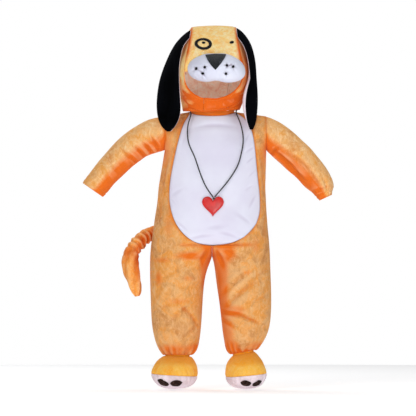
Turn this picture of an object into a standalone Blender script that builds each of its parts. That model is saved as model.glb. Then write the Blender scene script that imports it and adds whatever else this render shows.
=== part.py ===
# A toddler's dog costume: a hooded plush jumpsuit, filled out as if worn, with its heart necklace.
# Sizes are in millimetres until points become mesh. +Z is up and the costume faces -Y.
# The wearer's left is +X and has names in _l, the wearer's right is -X and has names in _r.
# The origin is the middle of the neck, where the wearer carries the costume.

import math
from bisect import bisect_right

import bmesh
import bpy
from mathutils import Matrix, Vector
from mathutils.bvhtree import BVHTree

MM = 0.001
SIGN = {"r": -1.0, "l": 1.0}
FRONT = -1.0
BACK = 1.0


def table(names, *rows):
    """Columns by name, from rows of numbers."""
    return {name: [row[place] for row in rows] for place, name in enumerate(names.split())}


# Cloth thicknesses and the gap that sewn pieces keep
PLUSH = 2.0
SATIN = 1.2
FELT = 0.9
SEAM = 0.3
HALF_SEAM = SEAM / 2

# Neck and yoke
PIT = 95.0                              # underarm, below the neck
CROTCH = 386.0
CROTCH_RISE = 75.0                      # height over which the crotch seam curves under
NECK_WIDTH = 62.0
NECK_DEPTH = {FRONT: 50.0, BACK: 45.0}
NECK_SIDE = 11.0                        # heights of the neckline
NECK_MIDDLE = {FRONT: 0.0, BACK: 20.0}
SHOULDER = -1.0
ARM_DEPTH = 45.0                        # half the armhole, front to back
ARMHOLE = {"r": 130.0, "l": 149.0}      # the armhole's distance from the middle
COLLAR_HEIGHT = 14.0
FULLNESS = 2.4                          # 2 is an ellipse, more is squarer

# The trunk's side line, below the neck
TRUNK = {
    "r": table(
        "fall side", (95, 130), (140, 137.5), (189, 145), (247, 151), (302, 159.5), (351, 167), (386, 170)),
    "l": table(
        "fall side", (95, 149), (150, 147), (203, 145), (247, 147), (297, 152), (346, 157), (386, 159.5)),
}
TRUNK_DEPTH = table(
    "fall front back",
    (95, 77, 74), (140, 83, 79), (190, 87, 81), (240, 89, 82), (300, 90, 86), (386, 86, 86))

# The legs' outer and inner lines, and half their depth by the share of their length
LEG = {
    "r": table(
        "fall side inner",
        (386, 170, 0), (405, 170.5, 7), (432, 170.5, 17), (459, 170, 22), (490, 169, 24.5),
        (529, 167.5, 27),
        (567, 166, 29), (606, 159.5, 33), (633, 150, 38), (648, 141, 45), (657, 133, 56)),
    "l": table(
        "fall side inner",
        (386, 159.5, 0), (405, 160, 6.6), (432, 161, 9), (471, 162.5, 14), (509, 163, 20), (548, 162, 24.5),
        (587, 157, 29), (617, 145, 34), (636, 132, 40), (645, 124, 46), (649, 116, 54)),
}
LEG_DEPTH = table(
    "share deep",
    (0, 76), (0.17, 74), (0.38, 71), (0.6, 68), (0.75, 64), (0.86, 57), (0.93, 49), (0.97, 42), (1, 37))
HEM_TILT = {"r": 0.0, "l": 12.0}        # how much higher the hem is at its outer side
HEM_WAVES = 9
HEM_WAVE = 1.8

# The belly panel's edge: a table above its widest place, a rounded foot below
BELLY = {
    "r": table("fall side", (-11, 62), (0, 65), (12, 75), (61, 91), (125, 106), (174, 115.5), (213, 119)),
    "l": table(
        "fall side",
        (-11, 62), (-2, 80), (12, 96), (41, 110), (85, 118), (150, 124), (199, 130), (247, 134)),
}
BELLY_FOOT = 357.0
BELLY_ROUND = 2.15
BELLY_INSET = 0.9

# Rows of the panels, from the shoulder seam down to the ankle
YOKE_STEPS = 9
TRUNK_ROWS = (95, 130, 166, 202, 236, 268, 296, 318, 334, 345, 352, 357, 369)
BELLY_CORNER = 318
LEG_ROWS = (0, 0.05, 0.12, 0.22, 0.34, 0.46, 0.58, 0.69, 0.79, 0.87)
ANKLE_ROWS = (0.92, 0.96, 0.985, 1.0)
FRONT_STEPS = 8
BACK_STEPS = (4, 4)

# Sleeves: the upper and lower edge as seen from the front, and half the depth
SLEEVE = {
    "r": table(
        "top_x top_z low_x low_z deep",
        (130.3, -1, 130.3, -95, 45), (175, -10, 160, -104, 46), (228, -41, 195, -122, 45),
        (275, -83, 231, -150, 43), (318, -133, 266, -183, 40), (356, -184, 300, -223, 36)),
    "l": table(
        "top_x top_z low_x low_z deep",
        (149.3, -1, 149.3, -95, 45), (190, -20, 180, -124, 47), (232, -52, 215, -158, 46),
        (272, -91, 247, -186, 44), (305, -132, 272, -208, 40), (327, -165, 286, -222, 34),
        (334, -196, 293, -229, 27), (329, -217, 297, -232, 21)),
}
SLEEVE_RINGS = {"r": 11, "l": 13}
CUFF_WAVE = {"r": 0.6, "l": 2.0}
CUFF_WAVES = 6

# Soft folds: place on the piece, heading from level, half length, half width, height out
FOLDS = {
    "sleeve_r": table(
        "along around heading long wide high",
        (40, 150, 35, 45, 11, -5), (75, 135, 30, 50, 11, -5), (110, 120, 40, 40, 12, -4),
        (60, 60, -30, 50, 14, 4)),
    "sleeve_l": table(
        "along around heading long wide high",
        (50, 120, 20, 55, 12, -5), (95, 135, 15, 50, 12, -5), (150, 110, 25, 50, 12, -5),
        (190, 60, -20, 40, 13, 4)),
    "body_r": table(
        "along around heading long wide high",
        (130, 20, 80, 45, 12, -5), (165, 45, 70, 40, 12, -4), (430, 110, -55, 45, 14, -5),
        (535, 100, -45, 45, 14, -5), (560, 150, 30, 45, 13, -5), (600, 60, 15, 50, 13, 4)),
    "body_l": table(
        "along around heading long wide high",
        (150, 25, 75, 50, 13, -5), (410, 150, -40, 40, 13, -5), (450, 90, 35, 70, 14, -5),
        (500, 80, 30, 75, 14, 5), (545, 110, -20, 50, 12, -6), (575, 140, -30, 40, 12, -5)),
}

# Feet: rings from the ankle to the sole seam, then down the sole
FOOT_UPPER = table(
    "z forward wide long",
    (-650, 0, 33, 31), (-660, 1, 33.5, 32), (-666, 7, 44, 45), (-677, 15, 55, 60), (-692, 23, 61, 71),
    (-711, 29, 63, 78))
FOOT_SOLE = table(
    "z forward wide long",
    (-711.3, 29, 63, 78), (-723, 30, 60, 75), (-735, 30, 53, 67), (-744, 30, 41, 54), (-749, 29, 22, 32))
FOOT = {
    "r": {"ankle": -94.5, "toe": -98.5, "scale": 1.0, "ankle_scale": 1.03, "turn": -10.0, "seam_tilt": 8.0,
          "lift": 0.0},
    "l": {"ankle": 85.0, "toe": 86.5, "scale": 0.86, "ankle_scale": 0.815, "turn": 14.0, "seam_tilt": 11.0,
          "lift": 8.0},
}
FOOT_STEPS = 18
FOOT_FULLNESS = 2.3
PADS = table("side x y z wide high", (-1, -134, -95, -741, 16, 11), (-1, -98, -103, -743, 17, 11),
             (1, 93, -103, -744, 15, 10), (1, 123, -92, -742, 13, 10))

# Hood: the crown strip's middle line, and half the strip's width
CROWN = table(
    "y z half",
    (-102, 120, 80), (-104, 140, 80), (-98, 162, 75), (-84, 184, 70), (-64, 206, 66), (-38, 227, 63),
    (-8, 241, 61.5), (26, 246, 61), (58, 236, 59), (82, 210, 56), (95, 172, 52), (97, 130, 48),
    (87, 90, 44),
    (70, 56, 42), (43.8, 28, 40))
CROWN_ROWS = 18
CROWN_STEPS = 8
CROWN_ARCH = 4.0
HOOD_LEAN = table("z x", (10, -2), (75, 2), (137, 4.5), (260, 4.5))
HOOD_POLE = {"x": 98.0, "y": 10.0, "z": 130.0}
HOOD_RINGS = 6
CHIN_SAG = 16.0  # how far the chin's cloth sinks under the face opening's rim
HOOD_EDGE = {
    "r": table(
        "x y z power hug",
        (-66, 48, 13, 1.6, 0), (-80, 20, 13, 1.5, 0), (-81, -16, 13, 1.6, 0), (-68, -46, 12, 2.2, 0),
        (-46, -64, 11, 3.0, 0.2), (-23, -72, 10.5, 3.6, 0.7), (-23, -80, 28, 3.6, 1.0),
        (-23, -85, 48.5, 3.6, 1.2), (-37, -84, 52, 3.5, 1.1), (-50, -81, 59, 3.3, 0.8),
        (-62, -78, 69, 3.1, 0.5), (-71, -79, 81, 2.8, 0.2), (-77, -87, 99, 2.4, 0)),
    "l": table(
        "x y z power hug",
        (62, 48, 15, 1.6, 0), (76, 20, 17, 1.5, 0), (78, -16, 18, 1.6, 0), (68, -46, 17, 2.2, 0),
        (40, -66, 14, 3.2, 0.2), (-23, -72, 10.5, 4.0, 0.7), (-23, -80, 28, 4.0, 1.0),
        (-23, -85, 48.5, 4.0, 1.3), (-6, -87, 46, 3.9, 1.3), (12, -87, 46, 3.8, 1.2),
        (31, -85, 50, 3.6, 1.0), (49, -82, 57.5, 3.3, 0.6), (65, -78, 70, 3.1, 0.2),
        (77, -79, 84, 2.8, 0), (84, -87, 100, 2.4, 0)),
}
CLOSURE_X = -23.0

# Muzzle: its outline round a middle point, as seen from the front
MUZZLE_MIDDLE = (12.0, 131.0)
MUZZLE_OUTLINE = table(
    "angle radius",
    (-164, 78), (-150, 67), (-128, 50), (-88, 35), (-44, 59), (-29, 75), (-14, 84), (-2, 80), (17, 69),
    (37, 54), (93, 39), (146, 57), (162, 72), (176, 81.5))
MUZZLE_BULGE = 36.0
MUZZLE_CHEEKS = 0.1                     # how far the cheeks outdo the top and the chin
MUZZLE_GROOVE = 5.0
MUZZLE_SEAT = 1.5                       # the muzzle's gap to the forehead
MUZZLE_RINGS = 7
MUZZLE_SPOKES = 24
DOTS = table("x z", (-45, 127), (-20, 131.5), (-25, 114), (41, 137), (58.5, 133.7), (38, 113.3))
DOT_RADIUS = 3.4
NOSE_MIDDLE = (10.0, 151.0)
NOSE_CORNERS = table("x z bow", (-18, 164, 1.5), (38.5, 165.5, 3.0), (9, 125, 3.5))
NOSE_RINGS = 3
NOSE_STEPS = 8                          # steps along each of its three sides
NOSE_LIFT = 1.3
NOSE_THICK = 1.5

# Eyes on the crown strip: place across, place down it, half sizes, tilt
EYE_RING = {"x": -24.0, "row": 3.48, "wide": 25.0, "high": 21.5, "tilt": 28, "band": 8.6}
EYES = table("x row wide high tilt", (-23, 3.6, 5.0, 4.0, 14), (54, 3.65, 6.4, 4.6, -24))

# Ears: the rear edge and the front edge, with the curl of the front edge in degrees
EAR = {
    "r": table(
        "out_x out_y out_z in_x in_y in_z curl",
        (-57.5, -20, 236, -61, -54, 215, 0), (-76, -4, 226, -71, -58, 207, 0),
        (-98, 8, 203, -82, -60, 192, 0), (-115, 12, 175, -90, -60, 165, 5),
        (-130, 8, 139, -96, -58, 135, 10), (-144, -2, 97, -96, -57, 95, 20),
        (-150, -10, 52, -92, -59, 52, 30), (-151, -22, 20, -91, -64, 18, 25),
        (-148, -38, -8, -95, -69, -8, 15), (-138, -52, -30, -104, -70, -30, 10),
        (-124, -61, -43, -115, -66, -43, 0)),
    "l": table(
        "out_x out_y out_z in_x in_y in_z curl",
        (66.5, -8, 241, 69, -54, 217, 0), (82, 4, 233, 80, -58, 209, 0), (97, 12, 216, 93, -58, 194, 0),
        (109, 14, 188, 103, -55, 168, 0), (118, 10, 153, 108, -50, 138, 15),
        (122, 4, 110, 104, -53, 104, 70), (126, -4, 62, 89, -61, 62, 140),
        (126, -14, 25, 86.5, -65, 25, 150), (123, -30, 0, 92, -68, 0, 120),
        (119, -46, -20, 99, -70, -21, 70), (112, -60, -38, 105, -66, -38, 20)),
}
EAR_CURL = {"r": 8.0, "l": 17.0}        # width of the curled edge
EAR_ROWS = 11
EAR_STEPS = 5
EAR_CURL_STEPS = 3
EAR_CUP = 7.0
EAR_OUTER = 1.6
EAR_SEAM = {"r": (5.35, 4.35), "l": (5.8, 4.5)}     # crown rows between which the ear is sewn in
EAR_ROOT = 1.6                          # ear rows over which it leaves the seam
EAR_LIFT = 1.9

# Tail: its middle line and radius
TAIL = table(
    "x y z radius",
    (0, 86.35, -298, 22), (-1, 104, -299, 23), (-16, 116, -302, 23), (-44, 117, -307, 22),
    (-90, 107, -314, 21), (-136, 86, -322, 20), (-174, 57, -327, 20), (-200, 36, -345, 20),
    (-222, 22, -378, 22), (-225, 20, -412, 23), (-216, 20, -448, 21), (-208, 20, -480, 15),
    (-205, 20, -496, 7))
TAIL_ROWS = 31
TAIL_STEPS = 12
TAIL_RUCHES = 14
TAIL_RUCHE = 0.09

# Necklace
CORD_RADIUS = 1.75
CORD_POINTS = 60
CORD_ROUTE = table(
    "x y z",
    (3, -99.6, -223.2), (-17, -95, -194), (-32, -90.6, -159), (-47, -86.8, -115), (-62, -78.5, -81),
    (-67, -72.5, -56), (-66, -65.5, -27), (-58, -56.5, 4), (-62, -36, 17), (-69, -10, 19), (-64, 16, 20),
    (-46, 37, 21), (-20, 46.5, 22), (0, 47.5, 22.5), (22, 46, 22), (46, 37, 21), (65, 15, 21),
    (71, -8, 19), (68, -34, 17), (67, -54, 6), (78, -62, -22), (85, -69, -56), (83, -75, -90),
    (71, -82.5, -135), (51, -88.8, -169), (32, -94, -194), (7, -99.6, -223.2))
HEART = {"x": 2.5, "y": -90.2, "z": -249.0, "wide": 62.0, "high": 57.0, "thick": 7.0}
KNOT = {"x": 5.0, "y": -99.4, "z": -227.2, "radius": 3.4, "long": 7.0}

COLOURS = {
    "plush": (0.85, 0.38, 0.09), "white": (0.78, 0.79, 0.88), "black": (0.006, 0.006, 0.007),
    "lining": (0.74, 0.70, 0.76), "sole": (0.60, 0.53, 0.57), "pad": (0.03, 0.012, 0.01),
    "heart": (0.70, 0.01, 0.01), "cord": (0.012, 0.012, 0.02), "nose": (0.02, 0.022, 0.028),
}
ROUGHNESS = {"heart": 0.2, "cord": 0.6}


# Curves through tables

def through(columns, key, value, place):
    """The value column at a place, on a smooth curve through the table's rows."""
    places = columns[key]
    values = columns[value]
    last = len(places) - 1
    low = min(max(bisect_right(places, place) - 1, 0), last - 1)

    def slope(row):
        before, after = max(row - 1, 0), min(row + 1, last)
        return (values[after] - values[before]) / (places[after] - places[before])

    step = places[low + 1] - places[low]
    t = min(max((place - places[low]) / step, 0.0), 1.0)
    rise = (2 * t**3 - 3 * t**2 + 1) * values[low] + (3 * t**2 - 2 * t**3) * values[low + 1]
    return rise + step * ((t**3 - 2 * t**2 + t) * slope(low) + (t**3 - t**2) * slope(low + 1))


def along(columns, value, row):
    """The value column at a fractional row number."""
    rows = {"row": list(range(len(columns[value]))), "value": columns[value]}
    return through(rows, "row", "value", row)


def round_table(columns, angle):
    """The radius column at an angle, on a closed curve through the table's rows."""
    angles = columns["angle"]
    radii = columns["radius"]
    wide = {
        "angle": [a - 360 for a in angles[-2:]] + angles + [a + 360 for a in angles[:2]],
        "radius": radii[-2:] + radii + radii[:2],
    }
    angle = (angle - angles[0]) % 360 + angles[0]
    return through(wide, "angle", "radius", angle)


def fold_height(folds, along_piece, around_piece):
    """How far the soft folds push the cloth out at a place on a piece."""
    total = 0.0
    for row in range(len(folds["along"])):
        heading = math.radians(folds["heading"][row])
        down = along_piece - folds["along"][row]
        across = around_piece - folds["around"][row]
        length = across * math.cos(heading) + down * math.sin(heading)
        width = down * math.cos(heading) - across * math.sin(heading)
        total += folds["high"][row] * math.exp(
            -(length / folds["long"][row]) ** 2 - (width / folds["wide"][row]) ** 2)
    return total


# The jumpsuit's surface: turn runs from 0 at the side seam to pi at the middle or inseam

def trunk_section(side, facing, turn, fall):
    column = "front" if facing == FRONT else "back"
    width = through(TRUNK[side], "fall", "side", fall)
    deep = through(TRUNK_DEPTH, "fall", column, fall)
    share = (1 + math.cos(turn)) / 2
    full = deep * max(1 - share**FULLNESS, 0) ** (1 / FULLNESS)
    rise = min(max((CROTCH - fall) / CROTCH_RISE, 0.0), 1.0)
    joined = math.sqrt(1 - (1 - rise) ** 2)
    y = joined * full + (1 - joined) * LEG_DEPTH["deep"][0] * math.sin(turn)
    return width * share, y, -fall


def yoke_top(side, facing, x):
    """Height of the shoulder seam and the neckline."""
    if x >= NECK_WIDTH:
        share = (x - NECK_WIDTH) / (ARMHOLE[side] - NECK_WIDTH)
        return NECK_SIDE + (SHOULDER - NECK_SIDE) * share
    bow = math.sqrt(1 - (x / NECK_WIDTH) ** 2)
    return NECK_SIDE + (NECK_MIDDLE[facing] - NECK_SIDE) * bow


def yoke_section(side, facing, turn, lift):
    column = "front" if facing == FRONT else "back"
    share = (1 + math.cos(turn)) / 2
    x = ARMHOLE[side] * share
    climb = (1 - math.cos(math.pi * lift)) / 2
    z = -PIT + (yoke_top(side, facing, x) + PIT) * climb
    bow = math.sqrt(max(1 - (x / NECK_WIDTH) ** 2, 0))
    power = 1 / FULLNESS + (1 - 1 / FULLNESS) * min(1.0, 3 * lift)
    full = TRUNK_DEPTH[column][0] * max(1 - share**FULLNESS, 0) ** power
    taper = climb**1.6
    sleeve = ARM_DEPTH * math.sin(math.pi * lift) * share**2
    return x, sleeve + (1 - taper) * full + taper * NECK_DEPTH[facing] * bow, z


def leg_section(side, facing, turn, share):
    hem = LEG[side]["fall"][-1]
    fall = CROTCH + share * (hem - CROTCH)
    outer = through(LEG[side], "fall", "side", fall)
    inner = max(through(LEG[side], "fall", "inner", fall), 0)
    deep = through(LEG_DEPTH, "share", "deep", share)
    wave = HEM_WAVE * max(share - 0.9, 0) / 0.1 * math.cos(2 * HEM_WAVES * turn * facing)
    middle = (outer + inner) / 2
    half = (outer - inner) / 2 + wave
    tilt = HEM_TILT[side] / 2 * math.cos(turn) * share**6
    return middle + half * math.cos(turn), (deep + wave) * math.sin(turn), tilt - fall


SECTIONS = {"trunk": trunk_section, "yoke": yoke_section, "leg": leg_section}
ZONE_ENDS = {"trunk": (PIT, CROTCH, 2.0), "yoke": (0.0, 1.0, -0.02), "leg": (0.0, 1.0, 0.01)}


def body_point(side, facing, turn, row):
    zone, place = row
    x, y, z = SECTIONS[zone](side, facing, turn, place)
    return Vector((SIGN[side] * x, facing * y, z))


def body_normal(side, facing, turn, row):
    """The outward normal, from small steps across and down the surface."""
    zone, place = row
    low, high, step = ZONE_ENDS[zone]
    before = min(max(place - step, low), high)
    after = min(max(place + step, low), high)
    left = body_point(side, facing, max(turn - 0.02, 0), row)
    right = body_point(side, facing, min(turn + 0.02, math.pi), row)
    above = body_point(side, facing, turn, (zone, before))
    below = body_point(side, facing, turn, (zone, after))
    normal = (right - left).cross(below - above) * -facing * SIGN[side]
    return normal.normalized()


def seam_normal(side, facing, turn, row):
    """The outward normal, laid into the plane of a seam where the point lies on one."""
    normal = body_normal(side, facing, turn, row)
    zone, place = row
    if turn == 0 and zone == "yoke":
        normal.x = 0
    elif turn == 0:
        normal = Vector((SIGN[side], 0, 0))
    elif turn == math.pi and zone == "leg":
        normal = Vector((-SIGN[side], 0, -1 if place == 0 else 0))
    elif turn == math.pi:
        below = body_point(side, facing, turn, (zone, place + (2 if zone == "trunk" else -0.02)))
        run = below - body_point(side, facing, turn, row)
        normal = Vector((0, run.z * -facing, run.y * facing))
    if zone == "yoke" and place == 1:
        normal.y = 0
    return normal.normalized() if normal.length > 1e-6 else Vector((0, 0, 1))


def body_pair(side, facing, turn, row, end=math.pi):
    """The outer and the inner point of the plush at a place on a row that stops at its end."""
    point = body_point(side, facing, turn, row)
    normal = seam_normal(side, facing, turn, row)
    if facing == FRONT and row[0] != "yoke" and 0 < turn < end:
        fade = math.sqrt(math.sin(math.pi * turn / end))
        point += normal * fade * fold_height(FOLDS["body_" + side], -point.z, turn * 75)
    return point, point - normal * PLUSH


def kept_on_side(pair, side, facing):
    """Half a seam's gap kept to the middle plane and to the side seam's plane."""
    kept = []
    for point in pair:
        x = max(SIGN[side] * point.x, HALF_SEAM) * SIGN[side]
        y = max(facing * point.y, HALF_SEAM) * facing
        kept.append(Vector((x, y, point.z)))
    return kept


def belly_edge(side, fall):
    """Half the belly panel's width."""
    edge = BELLY[side]
    widest = edge["fall"][-1]
    if fall <= widest:
        return through(edge, "fall", "side", fall)
    share = min((fall - widest) / (BELLY_FOOT - widest), 1.0)
    return edge["side"][-1] * (1 - share**BELLY_ROUND) ** (1 / BELLY_ROUND)


def belly_place(side, row):
    """Where a row meets the belly panel's edge: its x and its height."""
    zone, place = row
    if zone == "trunk":
        return belly_edge(side, place), -place
    x = NECK_WIDTH if place == 1 else 90.0
    climb = (1 - math.cos(math.pi * place)) / 2
    for _ in range(12):
        z = -PIT + (yoke_top(side, FRONT, x) + PIT) * climb
        x = belly_edge(side, -z)
    return max(x, NECK_WIDTH), z


def turn_at(side, x, row):
    """The turn at a distance from the middle."""
    zone, place = row
    width = ARMHOLE[side] if zone == "yoke" else through(TRUNK[side], "fall", "side", place)
    return math.acos(min(max(2 * x / width - 1, -1), 1))


def yoke_rows():
    return [("yoke", step / YOKE_STEPS) for step in range(YOKE_STEPS, 0, -1)]


def leg_rows():
    return [("leg", share) for share in LEG_ROWS + ANKLE_ROWS]


def front_rows(side):
    rows = []
    for row in yoke_rows() + [("trunk", fall) for fall in TRUNK_ROWS] + leg_rows():
        end = math.pi
        if row[0] != "leg":
            x, _ = belly_place(side, row)
            end = turn_at(side, x, row)
        steps = FRONT_STEPS * (2 if row[0] == "leg" and row[1] in ANKLE_ROWS else 1)
        turns = [end * step / steps for step in range(steps + 1)]
        rows.append([kept_on_side(body_pair(side, FRONT, turn, row, end), side, FRONT) for turn in turns])
    return rows


def back_turns(side, row):
    """Turns of a back row, with one column on the side of the neck."""
    neck = math.acos(2 * NECK_WIDTH / ARMHOLE[side] - 1)
    outer, inner = BACK_STEPS
    turns = [neck * step / outer for step in range(outer)]
    turns += [neck + (math.pi - neck) * step / inner for step in range(inner + 1)]
    if row[0] == "leg" and row[1] in ANKLE_ROWS:
        middles = [(a + b) / 2 for a, b in zip(turns, turns[1:])]
        turns = sorted(turns + middles)
    return turns


def back_rows(side):
    rows = []
    for row in yoke_rows() + [("trunk", fall) for fall in TRUNK_ROWS] + leg_rows():
        turns = back_turns(side, row)
        rows.append([kept_on_side(body_pair(side, BACK, turn, row), side, BACK) for turn in turns])
    return rows


# Walls of cloth

def stitch(rows):
    """Triangles between rows of point numbers, split alike in each layer of cloth.

    A row may have twice the steps of the one above it.
    """
    faces = []
    for upper, lower in zip(rows, rows[1:]):
        if len(upper) == len(lower):
            for k in range(len(upper) - 1):
                faces.append((upper[k], upper[k + 1], lower[k]))
                faces.append((upper[k + 1], lower[k + 1], lower[k]))
            continue
        for k in range(len(upper) - 1):
            faces.append((upper[k], lower[2 * k + 1], lower[2 * k]))
            faces.append((upper[k], upper[k + 1], lower[2 * k + 1]))
            faces.append((upper[k + 1], lower[2 * k + 2], lower[2 * k + 1]))
    return faces


def wall_faces(rows, back, ring, tip):
    """Faces of the outer skin, the inner skin and the rims of a wall."""
    outer = stitch([row + row[:1] if ring else row for row in rows])
    if tip is not None:
        last = rows[-1] + (rows[-1][:1] if ring else [])
        outer += [(last[k], last[k + 1], tip) for k in range(len(last) - 1)]
    faces = list(outer) + [tuple(back[v] for v in reversed(face)) for face in outer]
    rims = [rows[0] + rows[0][:1] if ring else rows[0]]
    if tip is None:
        rims.append(list(reversed(rows[-1] + rows[-1][:1] if ring else rows[-1])))
    if not ring:
        rims.append([row[0] for row in reversed(rows)])
        rims.append([row[-1] for row in rows])
    for rim in rims:
        for a, b in zip(rim, rim[1:]):
            faces.append((b, a, back[a], back[b]))
    return faces


def wall(name, rows, colour, ring=False, tip=None):
    """A closed wall from rows of outer and inner points, in millimetres."""
    points = []
    numbers = []
    back = {}
    for row in rows + ([[tip]] if tip else []):
        numbers.append([])
        for outer, inner in row:
            numbers[-1].append(len(points))
            back[len(points)] = len(points) + 1
            points += [outer, inner]
    end = numbers.pop()[0] if tip else None
    return solid(name, points, wall_faces(numbers, back, ring, end), colour)


def solid(name, points, faces, colour):
    """A mesh object with its faces turned outward."""
    bm = bmesh.new()
    verts = [bm.verts.new(Vector(point) * MM) for point in points]
    for face in faces:
        bm.faces.new([verts[number] for number in face])
    bmesh.ops.recalc_face_normals(bm, faces=bm.faces)
    if bm.calc_volume(signed=True) < 0:
        bmesh.ops.reverse_faces(bm, faces=bm.faces)
    mesh = bpy.data.meshes.new(name)
    bm.to_mesh(mesh)
    bm.free()
    piece = bpy.data.objects.new(name, mesh)
    bpy.context.collection.objects.link(piece)
    mesh.shade_smooth()
    mesh.set_sharp_from_angle(angle=math.radians(50))
    mesh.materials.append(material(colour, name))
    return piece


def material(colour, name):
    """A plain finish of its own for each piece."""
    finish = bpy.data.materials.new(name)
    finish.use_nodes = True
    shader = finish.node_tree.nodes["Principled BSDF"]
    shader.inputs["Base Color"].default_value = (*COLOURS[colour], 1)
    shader.inputs["Roughness"].default_value = ROUGHNESS.get(colour, 0.85)
    shader.inputs["Metallic"].default_value = 0.0
    return finish


def grid_normals(rows, ring=False):
    """Normals of a grid of points, from its neighbours along both ways."""
    normals = []
    for r, row in enumerate(rows):
        normals.append([])
        above, below = rows[max(r - 1, 0)], rows[min(r + 1, len(rows) - 1)]
        for c in range(len(row)):
            before, after = (c - 1) % len(row), (c + 1) % len(row)
            if not ring:
                before, after = max(c - 1, 0), min(c + 1, len(row) - 1)
            normals[-1].append((row[after] - row[before]).cross(below[c] - above[c]).normalized())
    return normals


def surface_tree(piece):
    """A search tree of a piece's faces, in millimetres."""
    points = [vertex.co / MM for vertex in piece.data.vertices]
    faces = [tuple(face.vertices) for face in piece.data.polygons]
    return BVHTree.FromPolygons(points, faces)


# Jumpsuit

def make_body_panels():
    neck = {}
    for side in SIGN:
        wall("front_" + side, front_rows(side), "plush")
        rows = back_rows(side)
        wall("back_" + side, rows, "plush")
        neck[side] = rows[0][BACK_STEPS[0]:]
    return neck


def belly_outline():
    """The panel's two side edges, top and foot, each as places seen from the front."""
    side_rows = yoke_rows() + [("trunk", fall) for fall in TRUNK_ROWS if fall <= BELLY_CORNER]
    foot_falls = [fall for fall in TRUNK_ROWS if BELLY_CORNER < fall <= BELLY_FOOT]
    edges = {side: [belly_place(side, row) for row in side_rows] for side in SIGN}
    right = [(-x, z) for x, z in edges["r"]]
    left = list(edges["l"])
    foot = [right[-1]] + [(-belly_edge("r", fall), -fall) for fall in foot_falls]
    foot += [(belly_edge("l", fall), -fall) for fall in reversed(foot_falls[:-1])] + [left[-1]]
    steps = len(foot) - 1
    top = []
    for step in range(steps + 1):
        x = NECK_WIDTH * (2 * step / steps - 1)
        top.append((x, yoke_top("l", FRONT, abs(x))))
    return right, left, top, foot


def front_place(x, z):
    """Side, turn and row of a place on the front, seen from the front."""
    side = "l" if x >= 0 else "r"
    row = ("trunk", -z)
    if z > -PIT:
        climb = (z + PIT) / (yoke_top(side, FRONT, abs(x)) + PIT)
        row = ("yoke", math.acos(max(1 - 2 * climb, -1)) / math.pi)
    return side, turn_at(side, abs(x), row), row


def belly_pair(x, z):
    side, turn, row = front_place(x, z)
    point = body_point(side, FRONT, turn, row)
    edge_of_front = body_normal(side, FRONT, turn, row)
    if abs(x) < 0.5 and row[0] == "trunk":
        edge_of_front.x = 0
        edge_of_front.normalize()
    if row[0] == "yoke" and row[1] > 0.999:
        edge_of_front = Vector((0, -0.35, 1)).normalized() if abs(x) < NECK_WIDTH - 1 else Vector((0, 0, 1))
    return point, point - edge_of_front * SATIN


def make_belly():
    right, left, top, foot = belly_outline()
    rows = []
    for r in range(len(right)):
        v = r / (len(right) - 1)
        rows.append([])
        for c in range(len(top)):
            u = c / (len(top) - 1)
            place = []
            for k in range(2):
                sides = (1 - u) * right[r][k] + u * left[r][k]
                ends = (1 - v) * top[c][k] + v * foot[c][k]
                corners = (1 - u) * ((1 - v) * right[0][k] + v * right[-1][k])
                corners += u * ((1 - v) * left[0][k] + v * left[-1][k])
                place.append(sides + ends - corners)
            x = place[0] + BELLY_INSET * (1 - 2 * u)
            z = place[1] + BELLY_INSET * (2 * v - 1)
            rows[-1].append(belly_pair(x, z))
    wall("belly_panel", rows, "white")
    return rows[0]


def make_collar(neck, belly_top):
    """The neck binding stands on the neckline of the panels."""
    ring = list(belly_top) + list(neck["l"]) + list(reversed(neck["r"]))
    rows = []
    for height in (SEAM + 0.3, COLLAR_HEIGHT):
        row = []
        for outer, inner in ring:
            lift = Vector((0, 0, height))
            thin = Vector((outer.x, outer.y, 0)).normalized() * PLUSH
            foot = Vector((outer.x, outer.y, max(outer.z, inner.z)))
            row.append((foot + lift, foot + lift - thin))
        rows.append(row)
    wall("neck_binding", rows, "plush", ring=True)


def sleeve_rings(side):
    last = len(SLEEVE[side]["deep"]) - 1
    steps = 2 * YOKE_STEPS
    rings = []
    for ring in range(SLEEVE_RINGS[side]):
        share = ring / (SLEEVE_RINGS[side] - 1)
        row = share * last
        top = Vector((along(SLEEVE[side], "top_x", row), 0, along(SLEEVE[side], "top_z", row)))
        low = Vector((along(SLEEVE[side], "low_x", row), 0, along(SLEEVE[side], "low_z", row)))
        deep = along(SLEEVE[side], "deep", row)
        rings.append([])
        for step in range(steps):
            angle = 2 * math.pi * step / steps
            wave = 1 + CUFF_WAVE[side] / deep * max(share - 0.75, 0) * 4 * math.cos(CUFF_WAVES * angle)
            point = (top + low) / 2 + (top - low) / 2 * math.cos(angle) * wave
            point.y = -deep * math.sin(angle) * wave
            rings[-1].append(Vector((SIGN[side] * point.x, point.y, point.z)))
    return rings


def make_sleeve(side):
    rings = sleeve_rings(side)
    normals = grid_normals(rings, ring=True)
    if (rings[1][0] - rings[1][len(rings[1]) // 2]).dot(normals[1][0]) < 0:
        normals = [[-normal for normal in row] for row in normals]
    rows = []
    spacing = 300 / len(rings)
    for r, (ring, ring_normals) in enumerate(zip(rings, normals)):
        rows.append([])
        for c, (point, normal) in enumerate(zip(ring, ring_normals)):
            if r == 0:
                normal = Vector((0, normal.y, normal.z)).normalized()
            around = c / len(ring) * 280
            fade = min(r / 2, 1, (len(rings) - 1 - r) / 2)
            moved = point + normal * fade * fold_height(FOLDS["sleeve_" + side], r * spacing, around)
            rows[-1].append((moved, moved - normal * PLUSH))
    wall("sleeve_" + side, rows, "plush", ring=True)


# Feet

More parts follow.
